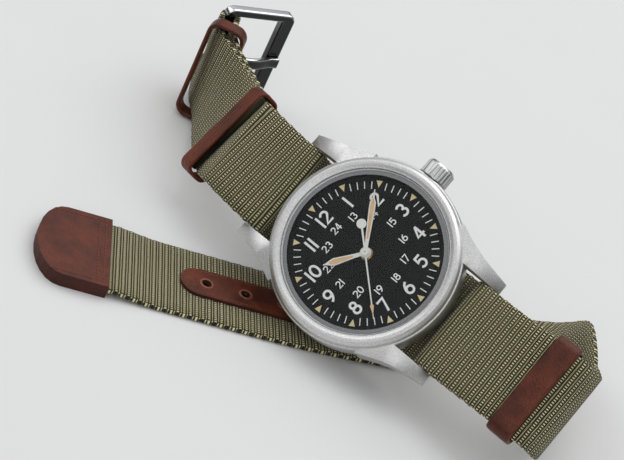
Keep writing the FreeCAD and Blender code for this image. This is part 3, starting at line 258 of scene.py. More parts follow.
def webbing(name):
    """Ribs lie across the strap. UV x counts rib pairs along it, UV y is the place across it in yarns."""
    m = Nodes(name)
    uv = m.new("ShaderNodeUVMap", uv_map="weave").outputs[0]
    sep = m.new("ShaderNodeSeparateXYZ")
    m.link(uv, sep.inputs[0])
    u, v = sep.outputs[0], sep.outputs[1]
    p = m.pos()
    wob = m.math("MULTIPLY", m.math("SUBTRACT", m.noise(900.0, 2.0, 0.5, p), 0.5), 0.10)
    u2 = m.math("ADD", u, wob)
    fu = m.math("FRACT", u2)
    row = m.math("FLOOR", u2)
    # the wide rib is 0..0.64 of the repeat and the narrow one 0.64..1
    wide = m.math("LESS_THAN", fu, 0.60)
    xw = m.math("DIVIDE", fu, 0.60)
    xn = m.math("DIVIDE", m.math("SUBTRACT", fu, 0.60), 0.40)
    hw = m.math("SINE", m.math("MULTIPLY", xw, pi))
    hn = m.math("SINE", m.math("MULTIPLY", xn, pi))
    # beads of yarn on the wide rib
    ph = m.math("MULTIPLY", row, 0.5)
    bead = m.math("SINE", m.math("MULTIPLY", m.math("ADD", v, ph), 2 * pi))
    bead = m.math("ADD", m.math("MULTIPLY", bead, 0.5), 0.5)
    slant = m.math("SINE", m.math("MULTIPLY", m.math("ADD", m.math("MULTIPLY", v, 2.0), m.math("MULTIPLY", fu, 1.6)), 2 * pi))
    slant = m.math("ADD", m.math("MULTIPLY", slant, 0.5), 0.5)
    hw2 = m.math("MULTIPLY", hw, hw)
    hole = m.range(m.math("MULTIPLY", bead, hw2), 0.26, 0.52, 0.0, 1.0)
    flat = m.math("POWER", hw, 0.75)
    lw = m.math("MULTIPLY", m.math("MULTIPLY", flat, 0.84), m.math("SUBTRACT", 1.0, m.math("MULTIPLY", hole, 1.0)))
    ln = m.math("MULTIPLY", hn, m.math("ADD", m.math("MULTIPLY", slant, 0.50), 0.36))
    h = m.math("ADD", m.math("MULTIPLY", wide, lw), m.math("MULTIPLY", m.math("SUBTRACT", 1.0, wide), ln))
    hair = m.noise(6000.0, 3.0, 0.6, p)
    broad = m.noise(120.0, 3.0, 0.5, p)
    # painted shade and highlight: the rib height sets the colour, near black in the gaps between ribs and in the weave
    # holes, near white on the rib tops; the middle stops are the yarn's own olive tone
    rib_painted_shading = m.math("ADD", m.math("MULTIPLY", h, 0.86), m.math("MULTIPLY", m.math("SUBTRACT", hair, 0.5), 0.35))
    col = m.ramp(rib_painted_shading, [(0.10, lin(6, 5, 3)), (0.38, lin(42, 38, 23)), (0.53, lin(166, 158, 114)), (0.76, lin(254, 245, 202))])
    col = m.mix(m.math("MULTIPLY", m.range(broad, 0.3, 0.7, 0.0, 1.0), 0.16), col, lin(110, 108, 70))
    m.link(col, m.bsdf.inputs["Base Color"])
    m.set(Roughness=0.82, Specular_IOR_Level=0.22)
    m.bsdf.inputs["Sheen Weight"].default_value = 0.12
    m.bsdf.inputs["Sheen Roughness"].default_value = 0.5
    hb = m.math("ADD", h, m.math("MULTIPLY", hair, 0.15))
    m.link(m.bump(hb, 0.00014, 1.0), m.bsdf.inputs["Normal"])
    return m.mat


M["webbing"] = webbing("webbing_surface")


def dress(node, key):
    o = frame["nodes"][node]
    o.data.materials.clear()
    o.data.materials.append(M[key])
    for poly in o.data.polygons:
        poly.use_smooth = True
    if "split" not in o.modifiers:
        s = o.modifiers.new("split", "EDGE_SPLIT")
        s.split_angle = rad(28)
    return o


SLOT_LOOK = {"blasted_steel": "blasted", "polished_steel": "polished", "sapphire": "glass", "dial_black": "dial", "hand_white": "hand", "gasket": "gasket", "ruby": "ruby",
             "plated_brass": "plate", "train_brass": "brass", "movement_steel": "inner_steel", "webbing": "webbing", "leather": "leather"}
for s in record["subparts"]:
    dress(s["node"], SLOT_LOOK[s["material_slot"]])
dress("crown", "crown")
# the flange takes the darkened steel with its painted reflection
dress("flange_ring", "flange")

BODY_OF = {n: body for body, names in record["behaviour"]["bodies"].items() for n in names}


def surface(node, width, key, angle=32, segments=2):
    """A node's own shape with its seams joined, its edges softened and its curved faces shaded smoothly."""
    me = frame["nodes"][node].data.copy()
    me.name = node + "_surface"
    bm = bmesh.new()
    bm.from_mesh(me)
    bmesh.ops.remove_doubles(bm, verts=bm.verts, dist=1e-6)
    bmesh.ops.recalc_face_normals(bm, faces=bm.faces)
    bm.to_mesh(me)
    bm.free()
    for a in ("custom_normal", "sharp_edge", "sharp_face"):
        if a in me.attributes:
            me.attributes.remove(me.attributes[a])
    me.materials.clear()
    me.materials.append(M[key])
    for poly in me.polygons:
        poly.use_smooth = True
        poly.material_index = 0
    o = bpy.data.objects.new(node + "_surface", me)
    bpy.context.scene.collection.objects.link(o)
    if width:
        b = o.modifiers.new("edges", "BEVEL")
        b.width = width * MM
        b.segments = segments
        b.limit_method = "ANGLE"
        b.angle_limit = rad(angle)
        bpy.context.view_layer.update()
        dg = bpy.context.evaluated_depsgraph_get()
        me2 = bpy.data.meshes.new_from_object(o.evaluated_get(dg))
        o.modifiers.clear()
        o.data = me2
        me2.name = node + "_surface"
    for poly in o.data.polygons:
        poly.use_smooth = True
    o.data.set_sharp_from_angle(angle=rad(angle))
    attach(o, BODY_OF[node])
    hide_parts(node)
    return o


surface("case_middle", 0.10, "blasted")
surface("bezel", 0.05, "blasted", 24)
surface("crown", 0.04, "crown", 30)
surface("buckle_frame", 0.16, "polished", 30, 3)
surface("buckle_tongue", 0.16, "polished", 30, 3)
surface("buckle_bar", 0.0, "polished", 30)


# ================================================================= mesh helpers
def make(name, verts, faces, key, body=ROOT, smooth=True):
    me = bpy.data.meshes.new(name)
    me.from_pydata([tuple(v * MM) for v in verts], [], faces)
    me.validate()
    me.update()
    for poly in me.polygons:
        poly.use_smooth = smooth
    me.materials.append(M[key])
    o = bpy.data.objects.new(name, me)
    bpy.context.scene.collection.objects.link(o)
    bm = bmesh.new()
    bm.from_mesh(me)
    bmesh.ops.recalc_face_normals(bm, faces=bm.faces)
    bm.to_mesh(me)
    bm.free()
    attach(o, body)
    return o


def rings_to_faces(n, m, closed_rings=True, closed_ends=False, caps=True):
    faces = []
    for i in range(n if closed_ends else n - 1):
        for k in range(m):
            a, b = i * m + k, i * m + (k + 1) % m
            c, d = ((i + 1) % n) * m + (k + 1) % m, ((i + 1) % n) * m + k
            faces.append((a, b, c, d))
    if caps and not closed_ends:
        faces.append(tuple(range(m - 1, -1, -1)))
        faces.append(tuple((n - 1) * m + k for k in range(m)))
    return faces


# ================================================================= the strap's path, in mm, as the CAD states it
WEB_W, WEB_T = 19.8, 1.3
LAYER = WEB_T + 0.06
UP = Vector((0, 0, 1))
BAR_POST = Vector((BAR.x, BAR.y, 0))
BAR_MID = 11.9
BAR_R = 0.9
W3 = AY


def unit(v):
    v = Vector(v)
    return v.normalized()


def bezier(p0, p1, p2, p3, t):
    u = 1 - t
    return p0 * (u * u * u) + p1 * (3 * u * u * t) + p2 * (3 * u * t * t) + p3 * (t * t * t)


def smooth_rows(pts, per):
    out = []
    for i in range(len(pts) - 1):
        quad = [pts[max(i - 1, 0)], pts[i], pts[i + 1], pts[min(i + 2, len(pts) - 1)]]
        for k in range(per):
            t = k / per
            row = []
            for j in range(3):
                p0, p1, p2, p3 = (q[j] for q in quad)
                row.append((p1 * 2 + (p2 - p0) * t + (p0 * 2 - p1 * 5 + p2 * 4 - p3) * (t * t) + (p1 * 3 - p0 - p2 * 3 + p3) * (t * t * t)) * 0.5)
            out.append(row)
    out.append(list(pts[-1]))
    return out


def stations(rows):
    out = []
    for i, (p, w, n) in enumerate(rows):
        a, b = rows[max(i - 1, 0)][0], rows[min(i + 1, len(rows) - 1)][0]
        t = unit(b - a)
        w = unit(w - t * t.dot(w))
        m = w.cross(t).normalized()
        if m.dot(n) < 0:
            m = -m
        out.append((p, w, m))
    return out


def local(x, z, y=0.0):
    return place(x, y, z)


near_12 = [local(-35.85, -3.2, 1.15), local(-31.5, -2.25, 0.65), local(-27.5, -1.95, 0.3), local(-24.5, -2.0, 0.1), local(-21.8, -2.28), local(-20.62, -2.8), local(-20.18, -3.9), local(-20.1, -5.2),
           local(-19.0, -6.7), local(-17.0, -7.55), local(-14.0, -7.75), local(-7.0, -7.75), local(0, -7.75)]
near_6 = [local(7.0, -7.75), local(14.0, -7.75), local(17.0, -7.55), local(19.0, -6.7), local(20.1, -5.2), local(20.18, -3.9), local(20.62, -2.8), local(21.8, -2.28), local(24.5, -1.85), local(28.0, -1.5),
          local(33.0, -1.15, 0.1), local(38.5, -0.95, 0.25), local(44.0, -1.1, 0.3)]
BEND_START, BEND_LENGTH, STEPS = 0.9467, 41.728, 48
BEND = [0.0436, -0.0356, -0.0244, 0.0249, 0.0323]
TWIST = [0.0183, -0.0049, -0.0258, -0.0251, 0.009]
SHEAR = [0.0345, 0.0092, 0.0212, 0.0016, -0.0091]


def knot(values, x):
    j = min(int(x * 4), 3)
    f = x * 4 - j
    return values[j] * (1 - f) + values[j + 1] * f


p, t = near_12[0], unit(AX * -cos(BEND_START) - AZ * sin(BEND_START))
w = Vector(W3)
n = unit(w.cross(t))
if n.dot(AZ) < 0:
    n = -n
inner_frames = [(p, w, n)]
ds = BEND_LENGTH / STEPS
for i in range(STEPS):
    x = (i + 0.5) / STEPS
    p = p + t * ds
    t, n = unit(t + (n * -knot(BEND, x) + w * knot(SHEAR, x)) * ds), n + (t * knot(BEND, x) + w * knot(TWIST, x)) * ds
    n = unit(n - t * n.dot(t))
    w2 = n.cross(t)
    w = w2 if w2.dot(w) > 0 else -w2
    if (i + 1) % 3 == 0:
        inner_frames.append((p, w, n))
n_bar = unit(Vector((n.x, n.y, 0)))
STRAP_END = unit(Vector((-n_bar.y, n_bar.x, 0)))
if STRAP_END.dot(t) < 0:
    STRAP_END = -STRAP_END
bar_centre = Vector((BAR_POST.x, BAR_POST.y, BAR_MID))
reach = BAR_R + 0.06 + WEB_T / 2
inner_frames[-1] = (bar_centre - n_bar * reach, UP, n_bar)
wrap = []
for k in range(1, 8):
    a = pi * k / 8
    wrap.append((bar_centre + n_bar * (-reach * cos(a)) + STRAP_END * (reach * sin(a)), UP, n_bar * -cos(a) + STRAP_END * sin(a)))
outer = []
for i, (p, w, n) in enumerate(inner_frames):
    t = i / 16.0
    open_up = min(1.0, max(0.0, (t - 0.68) / 0.255))
    off = LAYER + (2 * reach - LAYER) * open_up * open_up * (3 - 2 * open_up)
    if i >= 2:
        outer.append((p + n * off, w, n))
TAIL_DIR = Vector((-0.766, -0.643, 0))
TAIL_W = Vector((-0.643, 0.766, 0))
TAIL_OFF, TAIL_Z, TAIL_TIP = 0.3, WEB_T / 2, 59.7


def tail_at(s, z, sway=False):
    side = 0.0035 * max(0.0, 12.0 - s) ** 2 if sway else 0.0
    return Vector((HEAD.x, HEAD.y, 0)) + TAIL_W * (TAIL_OFF + side) + TAIL_DIR * s + Vector((0, 0, z))


LOOP_A, LOOP_B, LOOP_C = 9.0, 16.0, 0.0
curl = [(local(45.2, -1.45, 0.3), W3, AZ), (local(46.7, -2.6, 0.3), W3, AZ), (local(47.7, -4.6, 0.3), W3, AZ), (local(48.1, -7.0, 0.3), W3, AZ)]
loop_start, loop_end = curl[-1][0], tail_at(-36, TAIL_Z, True)
loop = []
for k in range(1, 18):
    t = k / 18.0
    p = bezier(loop_start, loop_start + AZ * -LOOP_A + AX * 0.6, loop_end - TAIL_DIR * LOOP_B - TAIL_W * LOOP_C + Vector((0, 0, 1.0)), loop_end, t)
    e = t * t * (3 - 2 * t)
    loop.append((p, unit(W3 * (1 - e) + TAIL_W * e), Vector((0, 0, 1))))
tail = [(tail_at(sx, TAIL_Z + z, True), TAIL_W, Vector((0, 0, 1))) for sx, z in ((-36, 0), (-29, 0), (-22, 0), (-15, 0), (-8, 0), (-1, 0), (6, 0), (12, 0), (24, 0), (35, 0), (39, 0.3), (43, 0.75), (44.5, 0.8), (48, 0.8), (TAIL_TIP - 8, 0.8))]
head_rows = stations(smooth_rows([(q, W3, AZ) for q in near_12 + near_6], 3))
path = outer + wrap[::-1] + inner_frames[::-1]
whole = path + head_rows[1:] + curl + loop + tail


def ordered(frames):
    out = [frames[0]]
    for i in range(1, len(frames)):
        p, w, n = frames[i]
        a, b = frames[i - 1][0], frames[min(i + 1, len(frames) - 1)][0]
        t = unit(b - a)
        w = unit(w - t * t.dot(w))
        m = unit(w.cross(t))
        if m.dot(out[-1][2]) < 0:
            m = -m
        out.append((p, w, m))
    return out


whole = ordered(whole)
whole = [(Vector((p.x, p.y, max(p.z, abs(w.z) * WEB_W / 2 + abs(n.z) * WEB_T / 2))), w, n) for p, w, n in whole]
flap_pts = [(local(-33.2, -2.6 - LAYER - 0.1, 0.75), W3, AZ), (local(-30.5, -3.7, 0.5), W3, AZ), (local(-27.0, -4.9, 0.2), W3, AZ), (local(-23.0, -7.0), W3, AZ), (local(-19.5, -8.55), W3, AZ),
            (local(-15.5, -9.12), W3, AZ), (local(-7.0, -9.14), W3, AZ), (local(7.0, -9.14), W3, AZ), (local(15.5, -9.12), W3, AZ), (local(19.5, -8.55), W3, AZ), (local(23.0, -7.0), W3, AZ),
            (local(28.0, -4.4), W3, AZ), (local(33.0, -2.7, 0.1), W3, AZ), (local(38.5, -0.95 - LAYER - 0.03, 0.25), W3, AZ), (local(43.6, -1.08 - LAYER - 0.03, 0.3), W3, AZ)]
flap_rows = stations(smooth_rows(flap_pts, 2))


# ================================================================= webbing with ribs
PITCH, YARN = 1.25, 0.54
PER = 8                     # samples for each repeat of the weave


def resample(rows, step):
    """Catmull-Rom through the rows, then even steps along the length."""
    fine = smooth_rows([tuple(r) for r in rows], 6)
    dist = [0.0]
    for a, b in zip(fine, fine[1:]):
        dist.append(dist[-1] + (b[0] - a[0]).length)
    total = dist[-1]
    count = int(total / step)
    out, j = [], 0
    for i in range(count + 1):
        s = total * i / count
        while j < len(dist) - 2 and dist[j + 1] < s:
            j += 1
        f = (s - dist[j]) / max(dist[j + 1] - dist[j], 1e-9)
        a, b = fine[j], fine[j + 1]
        out.append((s, a[0].lerp(b[0], f), a[1].lerp(b[1], f).normalized(), a[2].lerp(b[2], f).normalized()))
    return out, total


def rib(s):
    x = (s / PITCH) % 1.0
    if x < 0.60:
        return 0.055 * math.sqrt(max(0.0, 1 - ((x - 0.30) / 0.31) ** 2))
    return 0.10 * math.sqrt(max(0.0, 1 - ((x - 0.80) / 0.21) ** 2))


def ribbon(name, rows, skip=None):
    rows, total = resample(rows, PITCH / PER)
    across = 17
    prof = []           # (across -1..1, side +1/-1, weight of the rib)
    for k in range(across):
        prof.append((-1 + 2 * k / (across - 1), 1))
    for k in range(across):
        prof.append((1 - 2 * k / (across - 1), -1))
    m = len(prof)
    verts, uvs = [], []
    for s, p, w, n in rows:
        h = rib(s)
        wig = 0.06 * sin(2 * pi * s / PITCH) + 0.04 * sin(s * 2.3)
        for a, side in prof:
            edge = abs(a)
            # the selvage rounds off
            half = WEB_W / 2 - 0.06 + wig
            thick = WEB_T / 2 - 0.09 + h
            if edge > 0.999:
                thick *= 0.42
            elif edge > 0.87:
                thick *= 0.94
            x = half * a
            if 0.87 < edge < 0.999:
                x = math.copysign(half - 0.22, a)
            verts.append(p + w * x + n * (side * thick))
            uvs.append((s / PITCH, x / YARN))
    faces = rings_to_faces(len(rows), m)
    o = make(name, verts, faces, "webbing")
    layer = o.data.uv_layers.new(name="weave")
    for loop_ in o.data.loops:
        layer.data[loop_.index].uv = uvs[loop_.vertex_index]
    return o, total


main_web, total_length = ribbon("strap_webbing_woven", whole)
# the tongue's slot is cut from the woven piece as well
cut = bpy.data.meshes.new("slot_cutter")
bm = bmesh.new()
bmesh.ops.create_cube(bm, size=1.0)
bm.to_mesh(cut)
bm.free()
cutter = bpy.data.objects.new("slot_cutter", cut)
bpy.context.scene.collection.objects.link(cutter)
ang = math.atan2(STRAP_END.y, STRAP_END.x)
centre = BAR_POST + STRAP_END * 1.0 + Vector((0, 0, BAR_MID))
cutter.matrix_world = Matrix.Translation(centre * MM) @ Matrix.Rotation(ang, 4, "Z") @ Matrix.Diagonal((7.4 * MM, 5.4 * MM, 3.8 * MM, 1))
bpy.context.view_layer.update()
holes_mesh = bpy.data.meshes.new("hole_cutter")
bm = bmesh.new()
for k in range(5):
    c = tail_at(25.7 - 8.0 * k, 1.0) * MM
    ret = bmesh.ops.create_cone(bm, cap_ends=True, segments=32, radius1=1.0 * MM, radius2=1.0 * MM, depth=6 * MM, matrix=Matrix.Translation(c))
bm.to_mesh(holes_mesh)
bm.free()
hole_cutter = bpy.data.objects.new("hole_cutter", holes_mesh)
bpy.context.scene.collection.objects.link(hole_cutter)


def apply_cut(o, cutters):
    for c in cutters:
        m = o.modifiers.new("cut", "BOOLEAN")
        m.operation = "DIFFERENCE"
        m.solver = "EXACT"
        m.object = c
    bpy.context.view_layer.update()
    dg = bpy.context.evaluated_depsgraph_get()
    me = bpy.data.meshes.new_from_object(o.evaluated_get(dg))
    if len(me.polygons) > 10:
        o.modifiers.clear()
        o.data = me
    else:
        o.modifiers.clear()


apply_cut(main_web, [cutter, hole_cutter])
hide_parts("strap_webbing")
flap_web, _ = ribbon("strap_flap_woven", flap_rows)
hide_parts("strap_flap")


# ================================================================= leather
def band_loop(name, centre, w, n, t, wide, high, band, thick, corner, node, creases=()):
    """A keeper: a band of leather with rounded edges and a small crown, bent round the strap."""
    hw, hh, r = wide / 2 - thick / 2, high / 2 - thick / 2, corner - thick / 2
    line = []
    for cx, cy, a0 in ((1, 1, 0), (-1, 1, 90), (-1, -1, 180), (1, -1, 270)):
        for k in range(9):
            a = rad(a0 + 90 * k / 8)
            line.append((cx * (hw - r) + r * cos(a), cy * (hh - r) + r * sin(a), cos(a), sin(a)))
    pts = []
    N = len(line)
    for i in range(N):        # more points on the straight runs
        a, b = line[i], line[(i + 1) % N]
        d = math.hypot(b[0] - a[0], b[1] - a[1])
        k = max(1, int(d / 0.8))
        for j in range(k):
            f = j / k
            pts.append(tuple(a[q] * (1 - f) + b[q] * f for q in range(4)))
    prof = []
    e = thick / 2
    K = 6
    for side in (1, -1):      # half-round edges, flat faces with a slight crown
        for k in range(K + 1):
            a = pi / 2 * side * -1 + pi * k / K * side
            pass
    half = band / 2
    ring = []
    for k in range(7):
        a = -pi / 2 + pi * k / 6
        ring.append((half - e * 0.7 + e * 0.7 * cos(a), e * sin(a)))
    for k in range(1, 30):
        x = half - e * 0.7 - (2 * (half - e * 0.7)) * k / 30
        crease = sum(math.exp(-((abs(x) - c) / 0.10) ** 2) for c in creases)
        ring.append((x, e + 0.04 * cos(x / half * pi / 2) - 0.07 * crease))
    for k in range(7):
        a = pi / 2 + pi * k / 6
        ring.append((-half + e * 0.7 + e * 0.7 * cos(a), e * sin(a)))
    for k in range(1, 6):
        x = -half + e + (2 * (half - e)) * k / 6
        ring.append((x, -e))
    verts = []
    for i, (px, py, nx, ny) in enumerate(pts):
        l = math.hypot(nx, ny) or 1
        nx, ny = nx / l, ny / l
        wav = 0.03 * sin(i * 0.9) + 0.02 * sin(i * 2.3)
        for (x, y) in ring:
            verts.append(centre + w * (px + nx * y) + n * (py + ny * y) + t * (x * (1 + wav * 0.3)))
    o = make(name, verts, rings_to_faces(len(pts), len(ring), closed_ends=True, caps=False), "leather")
    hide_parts(node)
    return o


k1 = inner_frames[3]
t1 = unit(inner_frames[4][0] - inner_frames[2][0])
w1 = unit(k1[1] + t1 * 0.16)
t1 = unit(t1 - w1 * t1.dot(w1))
n1 = w1.cross(t1)
if n1.dot(k1[2]) < 0:
    n1 = -n1
KEEPER_1 = k1[0] + k1[2] * (LAYER / 2 + 0.1) - t1 * 0.4
t1, n1 = t1 * cos(0.45) + n1 * sin(0.45), n1 * cos(0.45) - t1 * sin(0.45)
band_loop("keeper_buckle_side_leather", KEEPER_1 - w1 * 0.3, w1, n1, t1, 22.3, 5.9, 4.0, 0.8, 1.9, "keeper_buckle_side", (0.55, 1.35))
k2 = inner_frames[13]
t2 = unit(inner_frames[14][0] - inner_frames[12][0])
w2 = unit(k2[1] + t2 * 0.12)
t2 = unit(t2 - w2 * t2.dot(w2))
n2 = w2.cross(t2)
if n2.dot(k2[2]) < 0:
    n2 = -n2
KEEPER_2 = k2[0] + k2[2] * 1.3 + UP * 0.3
turn2 = -0.35
t2, n2 = t2 * math.cos(turn2) + n2 * math.sin(turn2), n2 * math.cos(turn2) - t2 * math.sin(turn2)
band_loop("keeper_at_buckle_leather", KEEPER_2 + n2 * 0.6, w2, n2, t2, 23.2, 8.2, 3.6, 0.8, 2.6, "keeper_at_buckle")
band_loop("keeper_flap_end_leather", place(41.4, 0.28, -1.72), W3, AZ, AX, 22.2, 5.9, 5.2, 1.1, 2.0, "keeper_flap_end")


def stitches(name, points, normals, size=(0.62, 0.17, 0.12)):
    """Thread lying on the leather, one small rounded stitch at each point. points are (place, direction)."""
    bm = bmesh.new()
    for (p, d), nn in zip(points, normals):
        x = d.normalized()
        z = nn.normalized()
        y = z.cross(x).normalized()
        m = Matrix((x, y, z)).transposed().to_4x4()
        m.translation = p * MM
        bmesh.ops.create_uvsphere(bm, u_segments=10, v_segments=6, radius=1.0, matrix=m @ Matrix.Diagonal((size[0] * MM, size[1] * MM, size[2] * MM, 1)))
    me = bpy.data.meshes.new(name)
    bm.to_mesh(me)
    bm.free()
    for poly in me.polygons:
        poly.use_smooth = True
    me.materials.append(M["thread"])
    o = bpy.data.objects.new(name, me)
    bpy.context.scene.collection.objects.link(o)
    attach(o, ROOT)
    return o


def plate(name, node, width):
    """The CAD piece with soft edges, cut edges in a darker raw leather."""
    src = frame["nodes"][node]
    me = src.data.copy()
    me.name = name
    o = bpy.data.objects.new(name, me)
    bpy.context.scene.collection.objects.link(o)
    me.materials.clear()
    me.materials.append(M["leather"])
    me.materials.append(M["leather_edge"])
    for poly in me.polygons:
        poly.material_index = 1 if abs(poly.normal.z) < 0.5 else 0
        poly.use_smooth = True
    b = o.modifiers.new("edges", "BEVEL")
    b.width = width * MM
    b.segments = 3
    b.limit_method = "ANGLE"
    b.angle_limit = rad(40)
    bpy.context.view_layer.update()
    dg = bpy.context.evaluated_depsgraph_get()
    me2 = bpy.data.meshes.new_from_object(o.evaluated_get(dg))
    o.modifiers.clear()
    o.data = me2
    s = o.modifiers.new("split", "EDGE_SPLIT")
    s.split_angle = rad(40)
    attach(o, ROOT)
    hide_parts(node)
    return o


plate("strap_tip_leather", "strap_tip", 0.35)
plate("hole_strip_leather", "hole_strip", 0.2)
tip_s0 = TAIL_TIP - 14.4
pts, nrm = [], []
for b in (-8.9, 8.9):
    for k in range(11):
        pts.append((tail_at(tip_s0 + 1.3 + 0.98 * k, 2.93) + TAIL_W * b, TAIL_DIR))
for s0 in (1.2, 2.5):
    for k in range(17):
        pts.append((tail_at(tip_s0 + s0, 2.93) + TAIL_W * (-8.0 + 1.0 * k), TAIL_W))
stitches("tip_stitching", pts, [UP] * len(pts), (0.42, 0.16, 0.10))
pts = []
for b in (-3.15, 3.15):
    for k in range(36):
        pts.append((tail_at(-7.4 + 1.0 * k, WEB_T + 0.70) + TAIL_W * b, TAIL_DIR))
for k in range(9):
    a = rad(-80 + 20 * k)
    pts.append((tail_at(27.2 + 3.15 * cos(a), WEB_T + 0.70) + TAIL_W * (3.15 * sin(a)), TAIL_DIR * -sin(a) + TAIL_W * cos(a)))
stitches("hole_strip_stitching", pts, [UP] * len(pts), (0.36, 0.13, 0.07))


def torus(name, centre, axis_x, axis_y, R, r, key, body=ROOT, flat=0.5):
    z = axis_x.cross(axis_y).normalized()
    verts = []
    n, m = 40, 10
    for i in range(n):
        a = 2 * pi * i / n
        d = axis_x * cos(a) + axis_y * sin(a)
        for k in range(m):
            b = 2 * pi * k / m
            verts.append(centre + d * (R + r * cos(b)) + z * (r * flat * sin(b)))
    return make(name, verts, rings_to_faces(n, m, closed_ends=True, caps=False), key, body)


# raised rims round the holes, in the lighter leather of the painted highlight
for k in range(5):
    torus("hole_rim_%d" % (k + 1), tail_at(25.7 - 8.0 * k, WEB_T + 0.66), TAIL_DIR, TAIL_W, 1.22, 0.26, "leather_rim_painted_highlight", flat=0.45)

# ================================================================= dial printing
PRINT_Z = 0.012


def arc(cx, cy, rx, ry, a0, a1, n=16):
    return [(cx + rx * cos(rad(a0 + (a1 - a0) * i / n)), cy + ry * sin(rad(a0 + (a1 - a0) * i / n))) for i in range(n + 1)]


six = [(0.15, 0.43), (0.03, 0.375), (-0.08, 0.28), (-0.17, 0.15), (-0.235, 0.0), (-0.255, -0.14)]
# each digit is a list of (line, closed); one unit high with the stroke's own width left out
DIGITS = {
    "0": [(arc(0, 0, 0.27, 0.42, 0, 360, 32)[:-1], True)],
    "1": [([(0, 0.5), (0, -0.5)], False)],
    "2": [(arc(0, 0.19, 0.25, 0.23, 165, -28, 16) + [(-0.255, -0.42), (0.30, -0.42)], False)],
    "3": [(arc(-0.02, 0.215, 0.225, 0.205, 150, -85, 18), False), (arc(-0.02, -0.19, 0.265, 0.23, 88, -150, 18), False)],
    "4": [([(0.12, 0.5), (0.12, -0.5)], False), ([(0.10, 0.44), (-0.27, -0.20), (0.33, -0.20)], False)],
    "5": [([(0.25, 0.42), (-0.17, 0.42), (-0.215, 0.05)] + arc(-0.01, -0.15, 0.265, 0.27, 128, -145, 20), False)],
    "6": [(arc(0, -0.165, 0.255, 0.255, 0, 360, 28)[:-1], True), (six, False)],
    "7": [([(-0.29, 0.42), (0.25, 0.42), (-0.10, -0.5)], False)],
    "8": [(arc(0, 0.22, 0.20, 0.20, 0, 360, 26)[:-1], True), (arc(0, -0.185, 0.255, 0.235, 0, 360, 28)[:-1], True)],
    "9": [([(-x, -y) for x, y in arc(0, -0.165, 0.255, 0.255, 0, 360, 28)[:-1]], True), ([(-x, -y) for x, y in six], False)],
}
WIDE = {"1": 0.17}


def stroke(line, closed, width):
    """The two edges of a stroke of one width, with square ends and trimmed mitres."""
    n = len(line)
    left, right = [], []
    for i in range(n):
        a = line[(i - 1) % n] if closed or i else None
        b = line[(i + 1) % n] if closed or i < n - 1 else None
        dirs = []
        if a is not None:
            l = math.hypot(line[i][0] - a[0], line[i][1] - a[1])
            dirs.append(((line[i][0] - a[0]) / l, (line[i][1] - a[1]) / l))
        if b is not None:
            l = math.hypot(b[0] - line[i][0], b[1] - line[i][1])
            dirs.append(((b[0] - line[i][0]) / l, (b[1] - line[i][1]) / l))
        nx, ny = -sum(d[1] for d in dirs), sum(d[0] for d in dirs)
        l = math.hypot(nx, ny) or 1
        nx, ny = nx / l, ny / l
        k = min(1.35, 1 / max(0.2, nx * -dirs[0][1] + ny * dirs[0][0]))
        left.append((line[i][0] + nx * k * width / 2, line[i][1] + ny * k * width / 2))
        right.append((line[i][0] - nx * k * width / 2, line[i][1] - ny * k * width / 2))
    return left, right


def dial_text(body, r, clock, size, weight, name, key="print"):
    """A number on the dial, upright along the 12 to 6 line, its digits drawn as strokes."""
    gap = 0.62
    widths = [0.34 if ch == "1" else gap + 0.12 for ch in body]
    total = sum(widths)
    a = rad(clock)
    x0, y0 = -r * cos(a), r * sin(a)
    verts, faces = [], []
    at = -total / 2
    layer = 0
    for ch, wd in zip(body, widths):
        cx = at + wd / 2
        at += wd
        for line, closed in DIGITS[ch]:
            left, right = stroke(line, closed, weight)
            n = len(left)
            z = PRINT_Z + 0.004 + 0.0012 * layer
            layer += 1
            base = len(verts)
            for (px, py) in left + right:
                verts.append(place(x0 - py * size, y0 + (cx + px) * size, z) * MM)
            for (px, py) in left + right:
                verts.append(place(x0 - py * size, y0 + (cx + px) * size, 0.004) * MM)
            for i in range(n if closed else n - 1):
                j = (i + 1) % n
                faces.append((base + i, base + j, base + n + j, base + n + i))
                faces.append((base + 2 * n + i, base + 3 * n + i, base + 3 * n + j, base + 2 * n + j))
                faces.append((base + i, base + 2 * n + i, base + 2 * n + j, base + j))
                faces.append((base + n + i, base + n + j, base + 3 * n + j, base + 3 * n + i))
            if not closed:
                faces.append((base, base + n, base + 3 * n, base + 2 * n))
                faces.append((base + n - 1, base + 3 * n - 1, base + 4 * n - 1, base + 2 * n - 1))
    me = bpy.data.meshes.new(name)
    me.from_pydata([tuple(v) for v in verts], [], faces)
    me.materials.append(M[key])
    return me


def join(name, meshes, key, body=ROOT):
    bm = bmesh.new()
    for me in meshes:
        bm.from_mesh(me)
    bmesh.ops.recalc_face_normals(bm, faces=bm.faces)
    out = bpy.data.meshes.new(name)
    bm.to_mesh(out)
    bm.free()
    out.materials.append(M[key])
    for poly in out.polygons:
        poly.material_index = 0
    o = bpy.data.objects.new(name, out)
    bpy.context.scene.collection.objects.link(o)
    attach(o, body)
    return o


hours = [dial_text(str(h), 10.75, 30 * h, 2.85, 0.165, "hour_%d" % h) for h in range(1, 13)]
join("hour_numerals", hours, "print")
inner_nums = [dial_text(str(12 + h), 7.65, 30 * h, 1.55, 0.15, "hour24_%d" % h) for h in range(1, 13)]
join("hour_numerals_24", inner_nums, "print")


def flat_prism(polys, z0, z1, name, key, body=ROOT):
    """Thin raised shapes on the dial, polys in head x, y."""
    verts, faces = [], []
    for poly in polys:
        b = len(verts)
        n = len(poly)
        verts += [place(x, y, z0) for x, y in poly] + [place(x, y, z1) for x, y in poly]
        faces.append(tuple(b + n + k for k in range(n)))
        faces.append(tuple(b + k for k in range(n - 1, -1, -1)))
        for k in range(n):
            faces.append((b + k, b + (k + 1) % n, b + n + (k + 1) % n, b + n + k))
    return make(name, verts, faces, key, body, smooth=False)


def radial(clock, r, side):
    a = rad(clock)
    return (-r * cos(a) - side * sin(a) * -1 * -1, r * sin(a) - side * cos(a) * -1)


